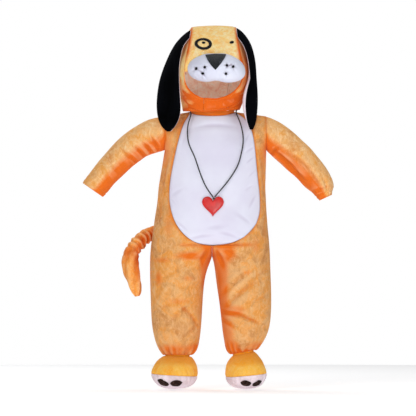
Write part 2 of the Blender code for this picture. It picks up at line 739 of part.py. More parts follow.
def foot_ring(side, section, row):
    foot = FOOT[side]
    share = row / (len(FOOT_UPPER["z"]) - 1) if section is FOOT_UPPER else 1.0
    scale = foot["ankle_scale"] + (foot["scale"] - foot["ankle_scale"]) * min(share * 2, 1)
    middle_x = foot["ankle"] + (foot["toe"] - foot["ankle"]) * share
    wide = section["wide"][row] * scale
    turn = Matrix.Rotation(math.radians(foot["turn"]) * share, 3, "Z")
    ring = []
    for step in range(FOOT_STEPS):
        angle = 2 * math.pi * step / FOOT_STEPS
        cosine, sine = math.cos(angle), math.sin(angle)
        x = wide * math.copysign(abs(cosine) ** (2 / FOOT_FULLNESS), cosine)
        reach = section["long"][row] * math.copysign(abs(sine) ** (2 / FOOT_FULLNESS), sine)
        y = -section["forward"][row] - reach
        seam_share = share if section is FOOT_UPPER else 1 - row / 4
        tilt = HEM_TILT[side] * (1 - share) + foot["seam_tilt"] * seam_share
        place = turn @ Vector((x, y, 0))
        z = section["z"][row] + foot["lift"] * (1 - share) + tilt * 0.5 * SIGN[side] * cosine
        ring.append(Vector((middle_x + place.x, place.y, z)))
    return ring


def foot_pairs(side, section, flat_row):
    rings = [foot_ring(side, section, row) for row in range(len(section["z"]))]
    normals = grid_normals(rings, ring=True)
    rows = []
    for r, ring in enumerate(rings):
        middle = sum(ring, Vector()) / len(ring)
        rows.append([])
        for point, normal in zip(ring, normals[r]):
            if normal.dot(point - middle) < 0:
                normal = -normal
            if r == flat_row:
                normal.z = 0
                normal.normalize()
            rows[-1].append((point, point - normal * PLUSH))
    return rows


def make_foot(side):
    upper_rows = foot_pairs(side, FOOT_UPPER, len(FOOT_UPPER["z"]) - 1)
    wall("foot_upper_" + side, upper_rows, "plush", ring=True)
    rows = foot_pairs(side, FOOT_SOLE, 0)
    middle = sum((pair[0] for pair in rows[-1]), Vector()) / FOOT_STEPS
    tip = (middle, middle + Vector((0, 0, PLUSH)))
    return wall("sole_" + side, rows, "sole", ring=True, tip=tip)


# Patches sewn on another piece

def patch(name, tree, middle, axes, radius, rings, spokes, thickness, lift, colour):
    """A patch on a surface, cast onto it along the third axis."""
    across, up, inward = axes

    def cast(share, angle):
        reach = share * radius(math.degrees(angle))
        start = middle + across * reach * math.cos(angle) + up * reach * math.sin(angle) - inward * 60
        hit, normal = tree.ray_cast(start, inward)[:2]
        out = (normal - inward).normalized()
        return hit + out * (lift + thickness), hit + out * lift

    rows = []
    for ring in range(rings, 0, -1):
        rows.append([cast(ring / rings, 2 * math.pi * spoke / spokes) for spoke in range(spokes)])
    return wall(name, rows, colour, ring=True, tip=cast(0, 0))


def oval(wide, high):
    """An oval's radius at an angle in degrees, from its half sizes."""
    def radius(angle):
        a = math.radians(angle)
        return wide * high / math.hypot(high * math.cos(a), wide * math.sin(a))

    return radius


def band(name, tree, middle, axes, radius, width, spokes, thickness, lift, colour):
    """A closed band on a surface, cast onto it along the third axis."""
    across, up, inward = axes
    rows = []
    for inset in (0, width):
        row = []
        for spoke in range(spokes):
            angle = 2 * math.pi * spoke / spokes
            reach = radius(math.degrees(angle)) - inset
            start = middle + across * reach * math.cos(angle) + up * reach * math.sin(angle) - inward * 60
            hit = tree.ray_cast(start, inward)[0]
            row.append((hit - inward * (lift + thickness), hit - inward * lift))
        rows.append(row)
    return wall(name, rows, colour, ring=True)


def make_pads(soles):
    trees = {side: surface_tree(sole) for side, sole in soles.items()}
    inward = Vector((0, 0.55, 0.83)).normalized()
    across = Vector((1, 0, 0))
    up = inward.cross(across) * -1
    counts = {"r": 0, "l": 0}
    for row in range(len(PADS["x"])):
        side = "l" if PADS["side"][row] > 0 else "r"
        counts[side] += 1
        middle = Vector((PADS["x"][row], PADS["y"][row], PADS["z"][row]))
        patch(f"toe_pad_{side}_{counts[side]}", trees[side], middle, (across, up, inward),
              oval(PADS["wide"][row], PADS["high"][row]), 2, 14, FELT, 1.1, "pad")


# Hood

def hood_lean(z):
    return through(HOOD_LEAN, "z", "x", z)


def crown_line(row):
    """A point of the crown's middle line, and the direction out of it."""
    y, z = along(CROWN, "y", row), along(CROWN, "z", row)
    low, high = max(row - 0.1, 0), min(row + 0.1, len(CROWN["y"]) - 1)
    run_y = along(CROWN, "y", high) - along(CROWN, "y", low)
    run_z = along(CROWN, "z", high) - along(CROWN, "z", low)
    return Vector((0, y, z)), Vector((0, -run_z, run_y)).normalized()


def crown_point(row, across):
    """A point of the crown strip: across runs from -1 to 1."""
    middle, out = crown_line(row)
    half = along(CROWN, "half", row)
    lean = hood_lean(middle.z)
    return middle + Vector((lean + half * across, 0, 0)) + out * CROWN_ARCH * (1 - across**2)


def crown_corner(row, sign):
    """The direction that both pieces' walls share at the crown seam."""
    _, out = crown_line(row)
    return (out * 1.3 + Vector((sign, 0, 0))).normalized()


def crown_shift(row, sign):
    """Half a seam's gap across the crown seam, toward the hood's side."""
    low, high = max(row - 0.1, 0), min(row + 0.1, len(CROWN["y"]) - 1)
    run = crown_point(high, sign) - crown_point(low, sign)
    shift = run.cross(crown_corner(row, sign)).normalized() * HALF_SEAM
    return shift if shift.x * sign > 0 else -shift


def crown_rows():
    last = len(CROWN["y"]) - 1
    return [last * row / (CROWN_ROWS - 1) for row in range(CROWN_ROWS)]


def make_crown():
    rows = []
    for row in crown_rows():
        _, out = crown_line(row)
        rows.append([])
        for step in range(CROWN_STEPS + 1):
            across = 2 * step / CROWN_STEPS - 1
            point = crown_point(row, across)
            normal = (out + Vector((across * 2 * CROWN_ARCH / along(CROWN, "half", row), 0, 0))).normalized()
            if abs(across) == 1:
                normal = crown_corner(row, across)
                point -= crown_shift(row, across)
            rows[-1].append((point, point - normal * PLUSH))
    return wall("hood_crown", rows, "plush")


def hood_edge(side):
    """The hood side's whole edge: points, how the cloth leaves them, and fixed inward directions."""
    sign = SIGN[side]
    edge = []
    for row in crown_rows():
        point = crown_point(row, sign) + crown_shift(row, sign)
        edge.append((point, 1.6, 0.0, crown_corner(row, sign)))
    rows = HOOD_EDGE[side]
    for row in range(len(rows["x"])):
        x = rows["x"][row]
        plane = None
        if x == CLOSURE_X:
            x += HALF_SEAM * sign
            plane = Vector((0, -1, 0))
        point = Vector((x, rows["y"][row], rows["z"][row]))
        edge.append((point, rows["power"][row], rows["hug"][row], plane))
    return edge


def hood_side_rings(side):
    pole = Vector((SIGN[side] * HOOD_POLE["x"] + hood_lean(HOOD_POLE["z"]), HOOD_POLE["y"], HOOD_POLE["z"]))
    edge = hood_edge(side)
    rings = []
    for ring in range(HOOD_RINGS, 0, -1):
        share = ring / HOOD_RINGS
        rings.append([])
        for point, power, hug, _ in edge:
            place = point.lerp(pole, (1 - share) * (1 - hug * share**6))
            place.x = point.x + (pole.x - point.x) * (1 - share**power)
            place.z -= hug * CHIN_SAG * 4 * (1 - share) * share**3
            rings[-1].append(place)
    return rings, edge, pole


def make_hood_side(side):
    rings, edge, pole = hood_side_rings(side)
    normals = grid_normals(rings, ring=True)
    rows = []
    for r, ring in enumerate(rings):
        rows.append([])
        for c, point in enumerate(ring):
            normal = normals[r][c] * SIGN[side]
            if normal.dot(point - Vector((0, 0, 120))) < 0:
                normal = -normal
            if r == 0 and edge[c][3]:
                normal = edge[c][3]
            rows[-1].append((point, point - normal * PLUSH))
    tip = (pole, pole - Vector((SIGN[side] * PLUSH, 0, 0)))
    return wall("hood_side_" + side, rows, "plush", ring=True, tip=tip)


def muzzle_front(share, angle, x, z):
    """How far the muzzle stands out: two cheeks with a groove under the nose."""
    swell = max(1 - share**2.6, 0) ** 0.62
    cheek = 1 + MUZZLE_CHEEKS * min(2 * share, 1) ** 2 * math.cos(2 * angle)
    groove = MUZZLE_GROOVE * math.exp(-((x - MUZZLE_MIDDLE[0]) / 9) ** 2) * min(max((128 - z) / 16, 0), 1)
    return MUZZLE_BULGE * swell * cheek - groove * swell


def muzzle_backing(tree, x, z):
    """The forehead's y behind a place on the muzzle, carried on below the brow."""
    brow = CROWN["z"][0] + 2
    reach = CROWN["half"][0] - 6
    lean = hood_lean(brow)
    start = Vector((min(max(x, lean - reach), lean + reach), -200, max(z, brow)))
    return tree.ray_cast(start, Vector((0, 1, 0)))[0].y - MUZZLE_SEAT


def make_muzzle(crown):
    tree = surface_tree(crown)
    middle_x, middle_z = MUZZLE_MIDDLE
    points = []
    for layer, first in ((1, MUZZLE_RINGS), (0, MUZZLE_RINGS - 1)):
        for ring in range(first, 0, -1):
            for spoke in range(MUZZLE_SPOKES):
                angle = 2 * math.pi * spoke / MUZZLE_SPOKES
                share = ring / MUZZLE_RINGS
                reach = share * round_table(MUZZLE_OUTLINE, math.degrees(angle))
                x, z = middle_x + reach * math.cos(angle), middle_z + reach * math.sin(angle)
                out = layer * muzzle_front(share, angle, x, z)
                points.append(Vector((x, muzzle_backing(tree, x, z) - out, z)))
        out = layer * muzzle_front(0, 0, middle_x, middle_z)
        points.append(Vector((middle_x, muzzle_backing(tree, middle_x, middle_z) - out, middle_z)))
    return solid("muzzle", points, muzzle_faces(), "white")


def muzzle_faces():
    """Front dome and back, which share the outline's ring."""
    count = MUZZLE_SPOKES
    front = [[ring * count + spoke for spoke in range(count)] for ring in range(MUZZLE_RINGS)]
    front_tip = MUZZLE_RINGS * count
    start = front_tip + 1
    back = [front[0]]
    back += [[start + ring * count + spoke for spoke in range(count)] for ring in range(MUZZLE_RINGS - 1)]
    back_tip = start + (MUZZLE_RINGS - 1) * count
    faces = []
    for rings, tip, flip in ((front, front_tip, False), (back, back_tip, True)):
        skin = stitch([ring + ring[:1] for ring in rings])
        last = rings[-1] + rings[-1][:1]
        skin += [(last[k], last[k + 1], tip) for k in range(count)]
        faces += [tuple(reversed(face)) if flip else face for face in skin]
    return faces


def muzzle_point(tree, x, z):
    """The muzzle's front at a place seen from the front."""
    aside, above = x - MUZZLE_MIDDLE[0], z - MUZZLE_MIDDLE[1]
    angle = math.atan2(above, aside)
    share = math.hypot(aside, above) / round_table(MUZZLE_OUTLINE, math.degrees(angle))
    return Vector((x, muzzle_backing(tree, x, z) - muzzle_front(share, angle, x, z), z))


def nose_outline():
    """The nose's three bowed sides, as places seen from the front."""
    corners = list(zip(NOSE_CORNERS["x"], NOSE_CORNERS["z"]))
    outline = []
    for number, (x, z) in enumerate(corners):
        next_x, next_z = corners[(number + 1) % 3]
        run_x, run_z = next_x - x, next_z - z
        length = math.hypot(run_x, run_z)
        for step in range(NOSE_STEPS):
            share = step / NOSE_STEPS
            bow = NOSE_CORNERS["bow"][number] * 4 * share * (1 - share) / length
            outline.append((x + run_x * share - run_z * bow, z + run_z * share + run_x * bow))
    return outline


def make_nose(tree):
    middle_x, middle_z = NOSE_MIDDLE

    def pair(share, x, z):
        x, z = middle_x + (x - middle_x) * share, middle_z + (z - middle_z) * share
        point = muzzle_point(tree, x, z)
        across = muzzle_point(tree, x + 0.5, z) - muzzle_point(tree, x - 0.5, z)
        up = muzzle_point(tree, x, z + 0.5) - muzzle_point(tree, x, z - 0.5)
        out = across.cross(up).normalized()
        return point + out * (NOSE_LIFT + NOSE_THICK), point + out * NOSE_LIFT

    rows = [[pair(ring / NOSE_RINGS, x, z) for x, z in nose_outline()] for ring in range(NOSE_RINGS, 0, -1)]
    wall("nose", rows, "nose", ring=True, tip=pair(0, middle_x, middle_z))


def make_face(muzzle, crown):
    crown_tree = surface_tree(crown)
    make_nose(crown_tree)
    tree = surface_tree(muzzle)
    level = (Vector((1, 0, 0)), Vector((0, 0, 1)), Vector((0, 1, 0)))
    for row in range(len(DOTS["x"])):
        middle = Vector((DOTS["x"][row], -150, DOTS["z"][row]))
        name = f"whisker_dot_{row + 1}"
        patch(name, tree, middle, level, lambda angle: DOT_RADIUS, 1, 10, FELT, 0.5, "black")
    make_eyes(crown_tree)


def brow_axes(row, tilt):
    """Directions on the forehead: across, up it and into it."""
    _, out = crown_line(row)
    turn = Matrix.Rotation(math.radians(tilt), 3, -out)
    across = turn @ Vector((1, 0, 0))
    return across, out.cross(across), -out


def make_eyes(tree):
    middle = crown_point(EYE_RING["row"], 0)
    middle.x = EYE_RING["x"]
    band("eye_ring", tree, middle, brow_axes(EYE_RING["row"], EYE_RING["tilt"]),
         oval(EYE_RING["wide"], EYE_RING["high"]), EYE_RING["band"], 22, FELT, 0.5, "black")
    for number, side in enumerate(("r", "l")):
        middle = crown_point(EYES["row"][number], 0)
        middle.x = EYES["x"][number]
        patch("eye_" + side, tree, middle, brow_axes(EYES["row"][number], EYES["tilt"][number]),
              oval(EYES["wide"][number], EYES["high"][number]), 1, 12, FELT, 0.5, "black")


# Ears

def ear_row(side, row):
    """A row of the ear's middle surface, from the rear edge to the curled front edge."""
    rows = EAR[side]
    rear = Vector([along(rows, "out_" + axis, row) for axis in "xyz"])
    fore = Vector([along(rows, "in_" + axis, row) for axis in "xyz"])
    share = row / (len(rows["curl"]) - 1)
    chord = (fore - rear).normalized()
    outward = Vector((chord.y, -chord.x, 0)).normalized() * -SIGN[side]
    cup = EAR_CUP * math.sin(math.pi * share) ** 0.5
    rooted = max(1 - row / EAR_ROOT, 0)
    points = []
    for step in range(EAR_STEPS + 1):
        u = step / EAR_STEPS
        free = rear.lerp(fore, u) + outward * cup * 4 * u * (1 - u)
        points.append(free.lerp(ear_root(side, u), rooted**2 * (3 - 2 * rooted)))
    width = EAR_CURL[side] * max(math.sin(math.pi * (0.06 + 0.9 * share)), 0.12)
    curl = math.radians(along(rows, "curl", row))
    heading = (points[-1] - points[-2]).normalized()
    for step in range(EAR_CURL_STEPS):
        angle = curl * (step + 0.5) / EAR_CURL_STEPS * 1.2
        direction = heading * math.cos(angle) + curl_side(heading, outward) * math.sin(angle)
        points.append(points[-1] + direction * width / EAR_CURL_STEPS)
    return points


def ear_root(side, share):
    """A point just over the crown seam, where the ear is sewn in."""
    rear, fore = EAR_SEAM[side]
    row = rear + (fore - rear) * share
    return crown_point(row, SIGN[side]) + crown_corner(row, SIGN[side]) * EAR_LIFT


def curl_side(heading, outward):
    """The way that the front edge curls: out of the ear's outer face, at a right angle to the heading."""
    side = outward - heading * outward.dot(heading)
    return side.normalized()


def make_ear(side):
    last = len(EAR[side]["curl"]) - 1
    grid = [ear_row(side, last * row / (EAR_ROWS - 1)) for row in range(EAR_ROWS)]
    normals = grid_normals(grid)
    middle = EAR_ROWS // 2
    if normals[middle][2].x * SIGN[side] < 0:
        normals = [[-normal for normal in row] for row in normals]
    outer = []
    lining = []
    for row, row_normals in zip(grid, normals):
        outer.append([(point + normal * EAR_OUTER, point) for point, normal in zip(row, row_normals)])
        lining.append([(point - normal * SEAM, point - normal * (SEAM + SATIN))
                       for point, normal in zip(row, row_normals)])
    wall("ear_outer_" + side, outer, "black")
    wall("ear_lining_" + side, lining, "lining")


# Tail

def make_tail():
    last = len(TAIL["radius"]) - 1
    rows = []
    up = Vector((0, 0, 1))
    for ring in range(TAIL_ROWS):
        row = last * ring / (TAIL_ROWS - 1)
        middle = Vector([along(TAIL, axis, row) for axis in "xyz"])
        ahead = Vector([along(TAIL, axis, min(row + 0.1, last)) for axis in "xyz"])
        behind = Vector([along(TAIL, axis, max(row - 0.1, 0)) for axis in "xyz"])
        run = (ahead - behind).normalized()
        if ring == 0:
            run = Vector((0, 1, 0))
        up = (up - run * run.dot(up)).normalized()
        rows.append(tail_ring(middle, run, up, along(TAIL, "radius", row), ring / (TAIL_ROWS - 1)))
    points = [point for row in rows for point in row]
    numbers = [[r * TAIL_STEPS + c for c in range(TAIL_STEPS)] for r in range(TAIL_ROWS)]
    faces = stitch([row + row[:1] for row in numbers])
    faces.append(tuple(reversed(numbers[0])))
    faces.append(tuple(numbers[-1]))
    return solid("tail", points, faces, "plush")


def tail_ring(middle, run, up, radius, share):
    side = run.cross(up)
    ring = []
    for step in range(TAIL_STEPS):
        angle = 2 * math.pi * step / TAIL_STEPS
        swell = TAIL_RUCHE * math.sin(2 * math.pi * TAIL_RUCHES * share + 1.5 * math.sin(angle))
        fade = min(share * 8, 1, (1 - share) * 8)
        ring.append(middle + (up * math.cos(angle) + side * math.sin(angle)) * radius * (1 + swell * fade))
    return ring


# Necklace

def make_cord():
    curve = bpy.data.curves.new("cord", "CURVE")
    curve.dimensions = "3D"
    curve.bevel_depth = CORD_RADIUS * MM
    curve.bevel_resolution = 2
    curve.use_fill_caps = True
    spline = curve.splines.new("POLY")
    spline.points.add(CORD_POINTS - 1)
    last = len(CORD_ROUTE["x"]) - 1
    for number, point in enumerate(spline.points):
        row = last * number / (CORD_POINTS - 1)
        point.co = (*(along(CORD_ROUTE, axis, row) * MM for axis in "xyz"), 1)
    curve.materials.append(material("cord", "cord"))
    cord = bpy.data.objects.new("cord", curve)
    bpy.context.collection.objects.link(cord)


def heart_outline(steps):
    """A heart's outline, one unit wide and high, as seen from the front."""
    points = []
    for step in range(steps):
        t = 2 * math.pi * step / steps
        x = 16 * math.sin(t) ** 3
        z = 13 * math.cos(t) - 5 * math.cos(2 * t) - 2 * math.cos(3 * t) - math.cos(4 * t)
        points.append((x / 32, (z + 2.5) / 29))
    return points


def make_heart():
    outline = heart_outline(24)
    layers = []
    for out, scale in ((0, 0.9), (0.28, 1.0), (0.6, 1.0), (0.88, 0.86), (1.0, 0.6)):
        y = HEART["y"] - out * HEART["thick"]
        wide, high = scale * HEART["wide"], scale * HEART["high"]
        layers.append([Vector((HEART["x"] + x * wide, y, HEART["z"] + z * high)) for x, z in outline])
    points = [point for layer in layers for point in layer]
    count = len(outline)
    numbers = [[r * count + c for c in range(count)] for r in range(len(layers))]
    faces = stitch([row + row[:1] for row in numbers])
    for row in (numbers[0], numbers[-1]):
        middle = len(points)
        x_middle = sum((points[number] for number in row), Vector()) / count
        points.append(x_middle)
        faces += [(row[k], row[(k + 1) % count], middle) for k in range(count)]
    return solid("heart", points, faces, "heart")


def make_knot():
    bpy.ops.mesh.primitive_uv_sphere_add(segments=12, ring_count=8, radius=KNOT["radius"] * MM)
    knot = bpy.context.object
    knot.name = "knot"
    for vertex in knot.data.vertices:
        vertex.co.x *= KNOT["long"] / KNOT["radius"] / 2
    knot.location = Vector((KNOT["x"], KNOT["y"], KNOT["z"])) * MM
    knot.data.shade_smooth()
    knot.data.materials.append(material("cord", "knot"))


def main():
    for thing in list(bpy.data.objects):
        bpy.data.objects.remove(thing, do_unlink=True)
    neck = make_body_panels()
    belly_top = make_belly()
    make_collar(neck, belly_top)
    for side in SIGN:
        make_sleeve(side)
    make_pads({side: make_foot(side) for side in SIGN})
    crown = make_crown()
    for side in SIGN:
        make_hood_side(side)
        make_ear(side)
    make_face(make_muzzle(crown), crown)
    make_tail()
    make_cord()
    make_heart()
    make_knot()


main()
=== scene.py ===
# The dog costume's looks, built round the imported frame. Metres, +Z up, the costume faces -Y.
import math

import bmesh
import bpy
import numpy as np
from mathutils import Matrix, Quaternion, Vector
from mathutils.bvhtree import BVHTree
from mathutils.kdtree import KDTree


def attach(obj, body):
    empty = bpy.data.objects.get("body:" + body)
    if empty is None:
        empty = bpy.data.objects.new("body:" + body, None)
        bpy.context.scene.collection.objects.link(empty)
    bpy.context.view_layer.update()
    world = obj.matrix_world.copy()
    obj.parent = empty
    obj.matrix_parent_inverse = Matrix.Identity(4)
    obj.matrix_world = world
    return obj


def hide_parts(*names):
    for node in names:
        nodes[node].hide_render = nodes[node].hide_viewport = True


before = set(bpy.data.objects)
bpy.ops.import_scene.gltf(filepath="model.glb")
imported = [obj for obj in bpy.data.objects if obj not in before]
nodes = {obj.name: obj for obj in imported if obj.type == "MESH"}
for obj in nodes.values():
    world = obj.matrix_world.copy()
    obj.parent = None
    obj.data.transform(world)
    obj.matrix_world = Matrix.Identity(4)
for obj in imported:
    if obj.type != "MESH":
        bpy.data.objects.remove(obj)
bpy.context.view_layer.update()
mm = 0.001
front, back = -1, 1
print("frame loaded,", len(nodes), "nodes")


# Camera, floor and lights

cameraSetup = {
    "middleX": -0.011, "middleZ": -0.253,     # the point in the middle of the picture
    "distance": 20.0, "pictureWidth": 1.144, "sensor": 36.0,
}
stageSetup = {"floorZ": -0.7525, "radius": 3.2, "colour": (0.95, 0.95, 0.955), "glow": 0.34}
lightSetup = {
    # name: place, aim, size, power, colour
    "key": ((-1.3, -4.0, 1.9), (0, 0, -0.2), 1.6, 56, (1.0, 0.985, 0.96)),
    "fill": ((2.6, -3.4, 0.2), (0, 0, -0.3), 2.4, 22, (0.96, 0.98, 1.0)),
    "low": ((0.3, -2.4, -0.62), (0, 0, -0.66), 0.8, 18, (1.0, 0.97, 0.95)),
    "top": ((0.3, 0.8, 2.8), (0, 0, -0.1), 2.4, 36, (1.0, 1.0, 1.0)),
    "back": ((-1.8, 2.6, 1.2), (0, 0, -0.2), 2.0, 30, (1.0, 1.0, 1.0)),
}
hoodGlow = {"place": (0.005, -0.01, 0.12), "size": 0.03, "power": 0.055, "colour": (1.0, 0.86, 0.76)}
worldLight = {
    "colour": (0.98, 0.985, 1.0), "strength": 0.27,
    "seen": (1.0, 1.0, 1.0), "seenStrength": 1.0,     # what the camera sees behind the costume
}


def deselectAll():
    if bpy.context.object and bpy.context.object.mode != "OBJECT":
        bpy.ops.object.mode_set(mode="OBJECT")
    bpy.ops.object.select_all(action="DESELECT")


def pick(piece):
    deselectAll()
    piece.select_set(True)
    bpy.context.view_layer.objects.active = piece


def makeCamera():
    deselectAll()
    place = (cameraSetup["middleX"], -cameraSetup["distance"], cameraSetup["middleZ"])
    bpy.ops.object.camera_add(location=place, rotation=(math.pi / 2, 0, 0))
    camera = bpy.context.object
    camera.name = "photoCamera"
    camera.data.sensor_width = cameraSetup["sensor"]
    camera.data.lens = cameraSetup["sensor"] * cameraSetup["distance"] / cameraSetup["pictureWidth"]
    camera.data.clip_end = 60
    bpy.context.scene.camera = camera


def makeStage():
    # a round floor, open all round, so that the costume can be looked at from any side
    deselectAll()
    bpy.ops.mesh.primitive_circle_add(
        vertices=128, radius=stageSetup["radius"], fill_type="NGON", location=(0, 0, stageSetup["floorZ"]))
    floor = bpy.context.object
    floor.name = "paleFloor"
    floorPaint = plainFinish("floorPaint", stageSetup["colour"], 0.9)
    shader = floorPaint.node_tree.nodes["Principled BSDF"]
    shader.inputs["Emission Color"].default_value = (1, 1, 1, 1)
    shader.inputs["Emission Strength"].default_value = stageSetup["glow"]
    floor.data.materials.append(floorPaint)


def makeLights():
    for name, (place, aim, size, power, colour) in lightSetup.items():
        deselectAll()
        turn = (Vector(aim) - Vector(place)).to_track_quat("-Z", "Y").to_euler()
        bpy.ops.object.light_add(type="AREA", location=place, rotation=turn)
        lamp = bpy.context.object
        lamp.name = name + "Light"
        lamp.data.shape = "DISK"
        lamp.data.size = size
        lamp.data.energy = power
        lamp.data.color = colour
    deselectAll()
    bpy.ops.object.light_add(type="POINT", location=hoodGlow["place"])
    glow = bpy.context.object     # the daylight that comes through the hood's cloth
    glow.name = "hoodGlow"
    glow.data.energy = hoodGlow["power"]
    glow.data.shadow_soft_size = hoodGlow["size"]
    glow.data.color = hoodGlow["colour"]
    glow.visible_camera = False
    world = bpy.data.worlds.new("softSky")
    world.use_nodes = True
    sky = world.node_tree.nodes["Background"]
    sky.inputs["Color"].default_value = (*worldLight["colour"], 1)
    sky.inputs["Strength"].default_value = worldLight["strength"]
    seen = world.node_tree.nodes.new("ShaderNodeBackground")
    seen.inputs["Color"].default_value = (*worldLight["seen"], 1)
    seen.inputs["Strength"].default_value = worldLight["seenStrength"]
    path = world.node_tree.nodes.new("ShaderNodeLightPath")
    join = world.node_tree.nodes.new("ShaderNodeMixShader")
    world.node_tree.links.new(path.outputs["Is Camera Ray"], join.inputs["Fac"])
    world.node_tree.links.new(sky.outputs["Background"], join.inputs[1])
    world.node_tree.links.new(seen.outputs["Background"], join.inputs[2])
    world.node_tree.links.new(join.outputs["Shader"], world.node_tree.nodes["World Output"].inputs["Surface"])
    bpy.context.scene.world = world
    bpy.context.scene.view_settings.view_transform = "Standard"     # keeps the plush as orange as it is


# Finishes

def plainFinish(name, colour, roughness):
    finish = bpy.data.materials.new(name)
    finish.use_nodes = True
    shader = finish.node_tree.nodes["Principled BSDF"]
    shader.inputs["Base Color"].default_value = (*colour, 1)
    shader.inputs["Roughness"].default_value = roughness
    return finish


class nodeBench:  # a material with short calls for its nodes

    def __init__(self, name, settings):
        self.finish = bpy.data.materials.new(name)
        self.finish.use_nodes = True
        self.nodes = self.finish.node_tree.nodes
        self.links = self.finish.node_tree.links
        self.shader = self.nodes["Principled BSDF"]
        for socket, value in settings.items():
            self.shader.inputs[socket].default_value = value
        self.place = self.nodes.new("ShaderNodeTexCoord").outputs["Object"]

    def join(self, value, socket):
        if isinstance(value, bpy.types.NodeSocket):
            self.links.new(value, socket)
        else:
            socket.default_value = value

    def stretch(self, scale, turn=(0, 0, 0)):
        mapping = self.nodes.new("ShaderNodeMapping")
        self.links.new(self.place, mapping.inputs["Vector"])
        mapping.inputs["Scale"].default_value = scale
        mapping.inputs["Rotation"].default_value = turn
        return mapping.outputs["Vector"]

    def noise(self, scale, detail=3.0, roughness=0.55, place=None, distortion=0.0):
        cloud = self.nodes.new("ShaderNodeTexNoise")
        self.links.new(place or self.place, cloud.inputs["Vector"])
        cloud.inputs["Scale"].default_value = scale
        cloud.inputs["Detail"].default_value = detail
        cloud.inputs["Roughness"].default_value = roughness
        cloud.inputs["Distortion"].default_value = distortion
        return cloud.outputs["Fac"]

    def attribute(self, name):
        read = self.nodes.new("ShaderNodeAttribute")
        read.attribute_name = name
        return read.outputs["Fac"]

    def cells(self, scale, place=None):
        cell = self.nodes.new("ShaderNodeTexVoronoi")
        self.links.new(place or self.place, cell.inputs["Vector"])
        cell.inputs["Scale"].default_value = scale
        return cell.outputs["Distance"]

    def wave(self, scale, distortion=0.0, place=None, direction="X"):
        wave = self.nodes.new("ShaderNodeTexWave")
        wave.bands_direction = direction
        self.links.new(place or self.place, wave.inputs["Vector"])
        wave.inputs["Scale"].default_value = scale
        wave.inputs["Distortion"].default_value = distortion
        wave.inputs["Detail"].default_value = 1.0
        return wave.outputs["Fac"]

    def ramp(self, value, *stops):
        ramp = self.nodes.new("ShaderNodeValToRGB")
        self.links.new(value, ramp.inputs["Fac"])
        points = ramp.color_ramp.elements
        while len(points) < len(stops):
            points.new(0.5)
        for point, (place, colour) in zip(points, stops):
            point.position = place
            point.color = (*colour, 1) if len(colour) == 3 else colour
        return ramp.outputs["Color"]

    def mix(self, share, a, b, blend="MIX"):
        mix = self.nodes.new("ShaderNodeMix")
        mix.data_type = "RGBA"
        mix.blend_type = blend
        self.join(share, mix.inputs[0])
        self.join(a if not isinstance(a, tuple) else (*a, 1), mix.inputs[6])
        self.join(b if not isinstance(b, tuple) else (*b, 1), mix.inputs[7])
        return mix.outputs[2]

    def sum(self, a, b, operation="ADD"):
        add = self.nodes.new("ShaderNodeMath")
        add.operation = operation
        self.join(a, add.inputs[0])
        self.join(b, add.inputs[1])
        return add.outputs[0]

    def colour(self, value):
        self.links.new(value, self.shader.inputs["Base Color"])

    def rough(self, value, low, high):
        span = self.nodes.new("ShaderNodeMapRange")
        self.links.new(value, span.inputs["Value"])
        span.inputs["To Min"].default_value = low
        span.inputs["To Max"].default_value = high
        self.links.new(span.outputs["Result"], self.shader.inputs["Roughness"])

    def bump(self, *layers):
        normal = None
        for value, strength, distance in layers:
            bump = self.nodes.new("ShaderNodeBump")
            self.links.new(value, bump.inputs["Height"])
            bump.inputs["Strength"].default_value = strength
            bump.inputs["Distance"].default_value = distance
            if normal:
                self.links.new(normal, bump.inputs["Normal"])
            normal = bump.outputs["Normal"]
        self.links.new(normal, self.shader.inputs["Normal"])


plushColours = {
    # name: low patches, main, bright patches, rubbed pile (also the painted highlight on fold ridges), deep
    # colour: painted shade in creases, along edges and where shade falls
    "jumpsuitPlush": (
        (0.56, 0.23, 0.068), (0.71, 0.345, 0.115), (0.80, 0.32, 0.058), (0.84, 0.52, 0.25),
        (0.76, 0.16, 0.012)),
    "sleevePlush": (
        (0.74, 0.30, 0.08), (0.86, 0.47, 0.18), (0.88, 0.39, 0.085), (0.98, 0.72, 0.42), (0.80, 0.16, 0.014)),
    # the hood's palette is paler and more golden than the jumpsuit's: partly its nap, partly painted light of
    # the brightly lit brow
    "hoodPlushPaintedLight": (
        (1.0, 0.50, 0.12), (1.0, 0.75, 0.31), (1.0, 0.60, 0.17), (1.0, 0.92, 0.62), (0.78, 0.13, 0.009)),
    "shoePlush": (
        (0.98, 0.42, 0.035), (1.0, 0.52, 0.07), (1.0, 0.56, 0.09), (1.0, 0.64, 0.19), (0.92, 0.34, 0.02)),
    "tailPlush": (
        (0.80, 0.24, 0.03), (0.90, 0.38, 0.09), (0.92, 0.33, 0.05), (0.96, 0.60, 0.28), (0.70, 0.11, 0.008)),
}
plushSetup = {"patches": 17.0, "strokes": 60.0, "pile": 640.0, "tufts": 1500.0, "roughness": 0.9}


